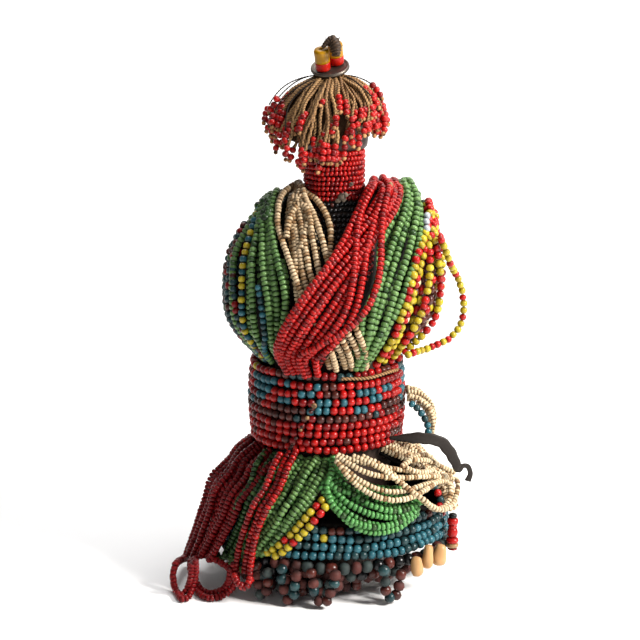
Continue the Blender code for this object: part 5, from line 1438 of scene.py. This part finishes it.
def buildHair():
    values = {"layers": ({"cords": 44, "reach": (0.60, 1.00), "depth": 0.0003},
                         {"cords": 48, "reach": (0.72, 1.02), "depth": 0.0015},
                         {"cords": 40, "reach": (0.84, 1.04), "depth": 0.0028}),
              "radius": 0.00078, "bead": 0.0038, "beadPitch": 0.0033, "cross": 15.0, "turn": 0.0034,
              "wave": 0.09,
              "ripple": 0.018, "steps": 42, "twist": 0.3, "strayRadius": 0.00034, "straySteps": 58,
              "strays": ((-78, 0.0045, 0.74, 3), (-64, 0.0035, 0.80, 2), (-95, 0.0050, 0.86, 3),
                         (-50, 0.0020, 0.86, 2),
                         (78, 0.0032, 0.64, 3), (92, 0.0012, 0.76, 3), (58, 0.0016, 0.72, 2),
                         (-14, -0.0002, 0.52, 1))}
    random = np.random.default_rng(81)
    names = ["twistedFibre", "redGlass", "deepRedGlass", "knotFibre", "darkFibreAndShadeBacking", "hairUnderShade"]
    twisted, red, deepRed, knotted, dark, under = range(len(names))
    shape = newShape()

    def addCord(path, beads, radius, finish, steps):
        lengths = lengthsAlong(path)
        tied = lengths[-1] - beads * values["beadPitch"] - 0.0020
        cord = placesAlong(path, lengths, np.linspace(0, tied, steps))
        addTube(shape, cord, radius, finish, 7, lobes=2, depth=values["twist"], turn=values["turn"],
                tone=float(np.clip(random.normal(0.5, 0.28), 0, 1)))
        made = []
        for k in range(beads):
            place = tied + (k + 0.5) * values["beadPitch"]
            size = values["bead"] * random.uniform(0.92, 1.06)
            centre, after, before = placesAlong(path, lengths, (place, place + 0.001, place - 0.001))
            centre = centre + random.normal(0, 0.0002, 3)
            axis = after - before + random.normal(0, 0.0002, 3)
            made.append((centre, axis, 0.5 * size, values["beadPitch"],
                         red if random.random() < 0.85 else deepRed, random.uniform(0.2, 0.9)))
        addBeads(shape, made, roundProfile, 9, random)
        knot = placesAlong(path, lengths, (tied + beads * values["beadPitch"] + 0.0007,))[0]
        addBeads(shape, [(knot, random.normal(0, 1, 3), 0.0013, 0.0024, knotted, random.uniform(0.2, 0.9))],
                 roundProfile, 6, random)

    for layer in values["layers"]:
        for i in range(layer["cords"]):
            angle = 2 * math.pi * (i + random.uniform(-0.4, 0.4)) / layer["cords"]
            swirl = math.radians(random.normal(0, values["cross"]))
            shares = np.linspace(0.10, random.uniform(*layer["reach"]), 60)
            wave = values["wave"] * drawnWave(random, 0.7, 1.6, shares) * shares
            wave = wave + values["ripple"] * drawnWave(random, 2.5, 4.5, shares)
            depth = layer["depth"] + 0.0006 * np.sin(9 * shares + random.uniform(0, 6))
            depth = depth - random.uniform(0, 0.0012) * shares ** 3
            path = hairPoint(angle + swirl * (shares - 0.2) + wave, shares, depth)
            addCord(path, int(random.choice([2, 2, 3, 3])), values["radius"] * random.uniform(0.8, 1.2),
                    twisted, values["steps"])
    for degrees, bulge, reach, beads in values["strays"]:
        shares = np.linspace(0.12, reach, 60)
        angles = math.radians(degrees) + 0.10 * np.sin(9 * shares + degrees)
        path = hairPoint(angles, shares, 0.0004 - bulge * np.sin(math.pi * (shares / reach) ** 1.3 * 0.8))
        addCord(path, beads, values["strayRadius"], dark if bulge > 0.0015 else twisted, values["straySteps"])
    # a cap under the cords, a darker brown than the cords as painted shade
    thetas = np.linspace(-math.pi, math.pi, 49)
    shares = np.linspace(0.03, 0.80, 12)
    outer = hairPoint(thetas[None, :], shares[:, None], 0.0040)
    inner = hairPoint(thetas[None, :], shares[:, None], 0.0046)
    addSlab(shape, outer, inner, under)
    makePiece(shape, "hairCords", names, ["hair_cords"], "twisted_fibre")


# crown: disc, two tall beads and the fibre that ties them
def buildCrown():
    values = {"discRadius": 0.0105, "discThickness": 0.0022, "lean": 25.0, "roll": 5.5, "beadRadius": 0.0041,
              "beadHeight": 0.0124, "bore": 0.0012, "redShare": 0.40, "seam": 0.00002, "wisps": 18,
              "top": 0.2988}
    random = np.random.default_rng(91)
    centre = Vector((-0.0023, 0.0, headTop + 0.0092))
    lean = Matrix.Rotation(math.radians(values["lean"]), 4, "X")
    lean = lean @ Matrix.Rotation(math.radians(-values["roll"]), 4, "Y")
    half, r = 0.5 * values["discThickness"], values["discRadius"]
    floor = 0.1 * values["discThickness"]
    profile = [(0.0, floor), (0.3 * r, floor), (0.6 * r, floor), (0.80 * r, floor + 0.0001),
               (0.86 * r, 0.5 * half),
               (0.90 * r, 0.85 * half), (0.94 * r, half), (0.98 * r, 0.8 * half), (r, 0.3 * half),
               (r, -0.3 * half), (0.97 * r, -0.8 * half), (0.9 * r, -half), (0.5 * r, -half), (0.0, -half)]
    shape = newShape()
    addTurned(shape, profile, 0, 64, Matrix.Translation(centre) @ lean,
              wobble=lambda theta, height: 1 - 0.008 * (0.5 + 0.5 * np.sin(3 * theta + 1)) + 0 * height)
    makePiece(shape, "crownDisc", ["darkMetal"], ["crown_disc"], "dark_metal")
    apart = 1.1 * values["beadRadius"]
    uneven = lambda theta, height: 1 - 0.010 * (0.5 + 0.5 * np.sin(2 * theta + 900 * height))
    for name, node, side in (("leftCrownBead", "left_crown_bead", -1),
                             ("rightCrownBead", "right_crown_bead", 1)):
        shape = newShape()
        seat = Vector((side * 0.8 * apart, side * 0.62 * apart, floor + clear))
        place = Matrix.Translation(centre + lean @ seat) @ lean
        tall, wide, bore = values["beadHeight"], values["beadRadius"], values["bore"]
        split = values["redShare"] * tall
        low = [(bore, 0.0), (0.7 * wide, 0.0), (0.9 * wide, 0.0003), (wide, 0.0011)]
        low += [(wide * (1 - 0.01 * math.sin(9 * k)), 0.0011 + (split - 0.0011) * k / 5) for k in range(1, 6)]
        low += [(bore, split)]
        high = [(bore, split + values["seam"]), (0.985 * wide, split + values["seam"])]
        high += [(wide * (0.995 - 0.012 * math.sin(7 * k)), split + (tall - 0.0012 - split) * k / 7)
                 for k in range(1, 8)]
        high += [(0.9 * wide, tall - 0.0003), (0.7 * wide, tall), (bore + 0.0004, tall),
                 (bore, tall - 0.0004)]
        addTurned(shape, low, 1, 40, place, wobble=uneven, closed=True)
        addTurned(shape, high, 0, 40, place, wobble=uneven, closed=True)
        makePiece(shape, name, ["crownYellow", "crownRed"], [node], "yellow_glass")
    # fibre wound in coarse turns into a lump, from the left bead over to the right one
    knots = [(x + centre.x, y + centre.y, z + centre.z, radius) for x, y, z, radius in
             ((-0.0043, -0.0094, 0.0108, 0.0009), (-0.0017, -0.0090, 0.0134, 0.0018),
              (0.0011, -0.0090, 0.0150, 0.0025),
              (0.0029, -0.0104, 0.0113, 0.0031), (0.0029, -0.0114, 0.0063, 0.0022))]
    path = pathThrough(knots, 110)
    turns = np.abs(np.sin(np.linspace(0, 13 * math.pi, 110))) ** 0.6
    lump = path[:, 3] * (0.80 + 0.20 * turns)
    lump[0] *= 0.6
    lump[-1] *= 0.5
    shape = newShape()
    addTube(shape, path[:, :3], lump, 0, 18, lobes=3, depth=0.05, turn=0.005)
    inside = path[25:100, :3] * 0.55 + 0.45 * (np.array(centre) + np.array((0.0004, -0.0098, 0.0088)))
    addTube(shape, inside, 0.0019 * (0.8 + 0.2 * turns[25:100]), 0, 14, lobes=3, depth=0.05, turn=0.005)
    for _ in range(values["wisps"]):
        start = int(random.integers(12, 100))
        away = random.normal(0, 1, 3) + np.array([-0.4, -0.3, 0.1])
        away = away / np.linalg.norm(away)
        root = path[start, :3] + away * 0.6 * path[start, 3]
        tip = root + away * (0.0012 + 0.5 * path[start, 3]) + random.normal(0, 0.0005, 3)
        tip[2] = min(tip[2], values["top"])
        middle = 0.5 * (root + tip) + random.normal(0, 0.0002, 3)
        addTube(shape, pathThrough([root, middle, tip], 8), np.linspace(0.00026, 0.00010, 8), 0, 5)
    makePiece(shape, "crownFibre", ["darkResin"], ["crown_fibre"], "twisted_fibre")


# loose pieces at the right-hand side
sideCorner = (beltRadius + beltShift, 0.0, skirtHeight)
torsoCorner = (torsoHalfWidth, 0.0, beltTop)
sideLoop = ((0.0026, 0.0276), (0.0102, 0.0254), (0.0163, 0.0189), (0.0181, 0.0109), (0.0171, 0.0039))
sideStrand = ((0.0023, -0.0209, 0.0234), (0.0067, -0.0209, 0.0204), (0.0108, -0.0209, 0.0149),
              (0.0130, -0.0209, 0.0089), (0.0126, -0.0214, 0.0034))
leatherPath = ((-0.0084, -0.0284, 0.0054, 0.0008), (0.0056, -0.0321, 0.0066, 0.0009),
               (0.0126, -0.0325, 0.0062, 0.0009), (0.0191, -0.0315, 0.0042, 0.0009),
               (0.0236, -0.0305, -0.0008, 0.0009), (0.0271, -0.0295, -0.0072, 0.0008),
               (0.0291, -0.0295, -0.0118, 0.0006), (0.0316, -0.0290, -0.0102, 0.0004),
               (0.0344, -0.0285, -0.0106, 0.0004), (0.0358, -0.0280, -0.0146, 0.0004),
               (0.0346, -0.0280, -0.0191, 0.0005))
looseLoop = ((-0.0058, -0.0198, 0.0703), (-0.0028, -0.0173, 0.0640), (0.0004, -0.0133, 0.0550),
             (0.0044, -0.0045, 0.0475), (0.0071, -0.0020, 0.0409), (0.0088, 0.0, 0.0350),
             (0.0094, 0.0, 0.0284), (0.0086, 0.0, 0.0206), (0.0060, -0.0008, 0.0152),
             (0.0009, -0.0040, 0.0108), (-0.0068, -0.0100, 0.0085), (-0.0140, -0.0160, 0.0075),
             (-0.0199, -0.0235, 0.0077), (-0.0241, -0.0275, 0.0064))


def hemRing(angle, out):
    return Vector(((skirtHalfWidth - 0.5 * hemBead + out) * math.sin(angle),
                   -(skirtHalfDepth - 0.5 * hemBead + out) * math.cos(angle), hemHeight))


def movedBy(points, corner):
    return [tuple(value + step for value, step in zip(point, corner)) + tuple(point[3:]) for point in points]


def buildSideLoops():
    values = {"strands": 9, "size": 0.0029, "pitch": 0.0018, "front": -0.0185, "width": 0.0285,
              "strand": (0.0041, 0.0038), "loop": (0.0042, 0.0040)}
    random = np.random.default_rng(101)
    names = ["ivoryGlass", "tanGlass", "darkFibreAndShadeBacking"]
    shape = newShape()
    path = pathThrough([(x + sideCorner[0], z + sideCorner[2], 0.0) for x, z in sideLoop], 60)[:, :2]
    ahead = np.gradient(path, axis=0)
    out = normalised(np.stack([-ahead[:, 1], ahead[:, 0]], -1))
    ways = np.linspace(0, 1, 60)
    for k in range(values["strands"]):
        y = values["front"] + values["width"] * (k + 0.5) / values["strands"]
        sink = 0.5 * values["size"] + 0.0011 * ((2 * k) % 3) + 0.0010 * np.sin(3 * ways + k)
        moved = path - out * sink[:, None]
        sway = 0.0007 * np.sin(2 * math.pi * ways + 1.7 * k) + (k - 4) * 0.0003 * ways
        strand = np.stack([moved[:, 0], y + sway, moved[:, 1]], -1)
        pick = glassPattern(random, {"ivoryGlass": 0.85, "tanGlass": 0.15}, names)
        addBeads(shape, stringBeads(strand, values["size"], values["pitch"], pick, random), ringProfile, 8,
                 random)
    makePiece(shape, "whiteSideLoops", names, ["white_side_loops"], "white_glass")

    names = ["blueGlass", "yellowGlass", "tealGlass"]
    shape = newShape()
    pick = glassPattern(random, {"blueGlass": 0.45, "yellowGlass": 0.3, "tealGlass": 0.25}, names)
    path = pathThrough(movedBy(sideStrand, sideCorner), 60)
    addBeads(shape, stringBeads(path, *values["strand"], pick, random), roundProfile, 12, random)
    makePiece(shape, "mixedSideStrand", names, ["mixed_side_strand"], "yellow_glass")

    names = ["yellowGlass", "redGlass"]
    shape = newShape()
    pattern = [names[k] for k in (0, 1, 0, 0, 1, 0, 0)]
    pick = glassPattern(random, {"yellowGlass": 0.7, "redGlass": 0.3}, names, pattern, 0.1)
    path = pathThrough(movedBy(looseLoop, torsoCorner), 120)
    addBeads(shape, stringBeads(path, *values["loop"], pick, random), roundProfile, 12, random)
    makePiece(shape, "looseBeadLoop", names, ["loose_bead_loop"], "yellow_glass")


def buildStrap():
    values = {"wide": 3.6, "thick": 1.1, "sides": 14, "steps": 80}
    shape = newShape()
    strap = pathThrough(movedBy(leatherPath, sideCorner), values["steps"])
    tangents = framesAlong(strap[:, :3])[0]
    across = normalised(np.cross(tangents, np.array([0.0, 1.0, 0.0])))
    through = normalised(np.cross(across, tangents))
    ways = np.arange(values["steps"])
    narrow = np.clip(0.3 + ways[:, None] / 24, 0.3, 1.0)  # tucked away at the belt
    width, thick = strap[:, 3:4] * values["wide"] * narrow, strap[:, 3:4] * values["thick"]
    theta = 2 * math.pi * np.arange(values["sides"]) / values["sides"]
    rimWide = np.sign(np.cos(theta)) * np.abs(np.cos(theta)) ** 0.6
    rimThick = np.sign(np.sin(theta)) * np.abs(np.sin(theta)) ** 0.8
    edges = 1 + 0.06 * np.sin(ways * 0.7)[:, None] * rimWide[None, :]
    verts = (strap[:, None, :3] + across[:, None, :] * (width * edges * rimWide)[..., None]
             + through[:, None, :] * (thick * rimThick)[..., None])
    steps, sides = values["steps"], values["sides"]
    addFaces(shape, verts, [gridFaces(steps, sides), capFaces(steps, sides)], 0)
    makePiece(shape, "leatherStrap", ["oldLeather"], ["leather_strap"], "old_leather")


def buildPendants():
    # each shell is its angle, height from the hem's ring, radius, half length and lean
    values = {"seat": 0.42, "shells": ((39.3, -0.0022, 0.0034, 0.0056, 6), (46.2, 0.0014, 0.0033, 0.0066, -8),
                                       (54.2, 0.0, 0.0040, 0.0060, -14)),
              "angle": 70, "top": 0.478, "drop": 0.0012, "bead": 0.0064}
    random = np.random.default_rng(111)
    outline = ((0.0, 1.0), (0.34, 0.98), (0.60, 0.90), (0.76, 0.72), (0.84, 0.42), (0.92, 0.12),
               (0.98, -0.18), (1.0, -0.42), (0.94, -0.66), (0.76, -0.86), (0.42, -0.97), (0.0, -1.0))

    def dents(theta, height):
        groove = np.exp(-((np.angle(np.exp(1j * (theta + 0.4))) / 0.30) ** 2))
        return (1 - 0.16 * groove - 0.07 * np.sin(2 * theta + 300 * height)
                - 0.04 * np.sin(3 * theta - 500 * height))

    for number, (degrees, above, radius, half, leanDegrees) in enumerate(values["shells"], 1):
        shape = newShape()
        angle = math.radians(degrees)
        place = hemRing(angle, values["seat"] * hemBead + radius + clear) + Vector((0.0, 0.0, above))
        outward = Vector((math.sin(angle), -math.cos(angle), 0.0))
        turn = Matrix.Rotation(math.radians(leanDegrees), 4, outward)
        turn = turn @ Matrix.Rotation(math.radians(70 * number), 4, "Z")
        addTurned(shape, [(radius * wide, half * tall) for wide, tall in outline], 0, 40,
                  Matrix.Translation(place) @ turn, wobble=dents)
        makePiece(shape, f"shellPendant{number}", ["tanShell"], [f"shell_pendant_{number}"], "tan_shell")

    names = ["redGlass", "deepRedGlass", "tanGlass", "blackGlass"]
    shape = newShape()
    foot = hemRing(math.radians(values["angle"]), values["seat"] * hemBead + 0.5 * values["bead"] + clear)
    foot.z -= values["drop"]
    axis = np.array((0.0, 0.0, foot.z - values["top"] * skirtHeight))
    spots = ((-0.02, 0.0050, 0.0032, 3), (0.16, 0.0066, 0.0048, 0), (0.33, 0.0052, 0.0030, 0),
             (0.52, 0.0062, 0.0064, 0),
             (0.78, 0.0072, 0.0040, 0), (0.94, 0.0074, 0.0034, 2), (1.06, 0.0058, 0.0016, 1))
    made = [(np.array(foot) + axis * (share - 1), axis + random.normal(0, 0.0006, 3), 0.5 * size, tall,
             finish, 0.6)
            for share, size, tall, finish in spots]
    addBeads(shape, made, roundProfile, 18, random)
    makePiece(shape, "redPendant", names, ["red_pendant"], "red_glass")


for build in (buildFigure, buildNeck, buildBelt, buildWhiteShoulder, buildLeftGreen, buildLeftMixed,
              buildRightGreen, buildRightYellow, buildSash, buildRedSkirt, buildGreenSkirt, buildWhiteSwags,
              buildBackHanks, buildSkirtRows, buildHem, buildHair, buildCrown, buildSideLoops, buildStrap,
              buildPendants):
    build()
print("all pieces made")
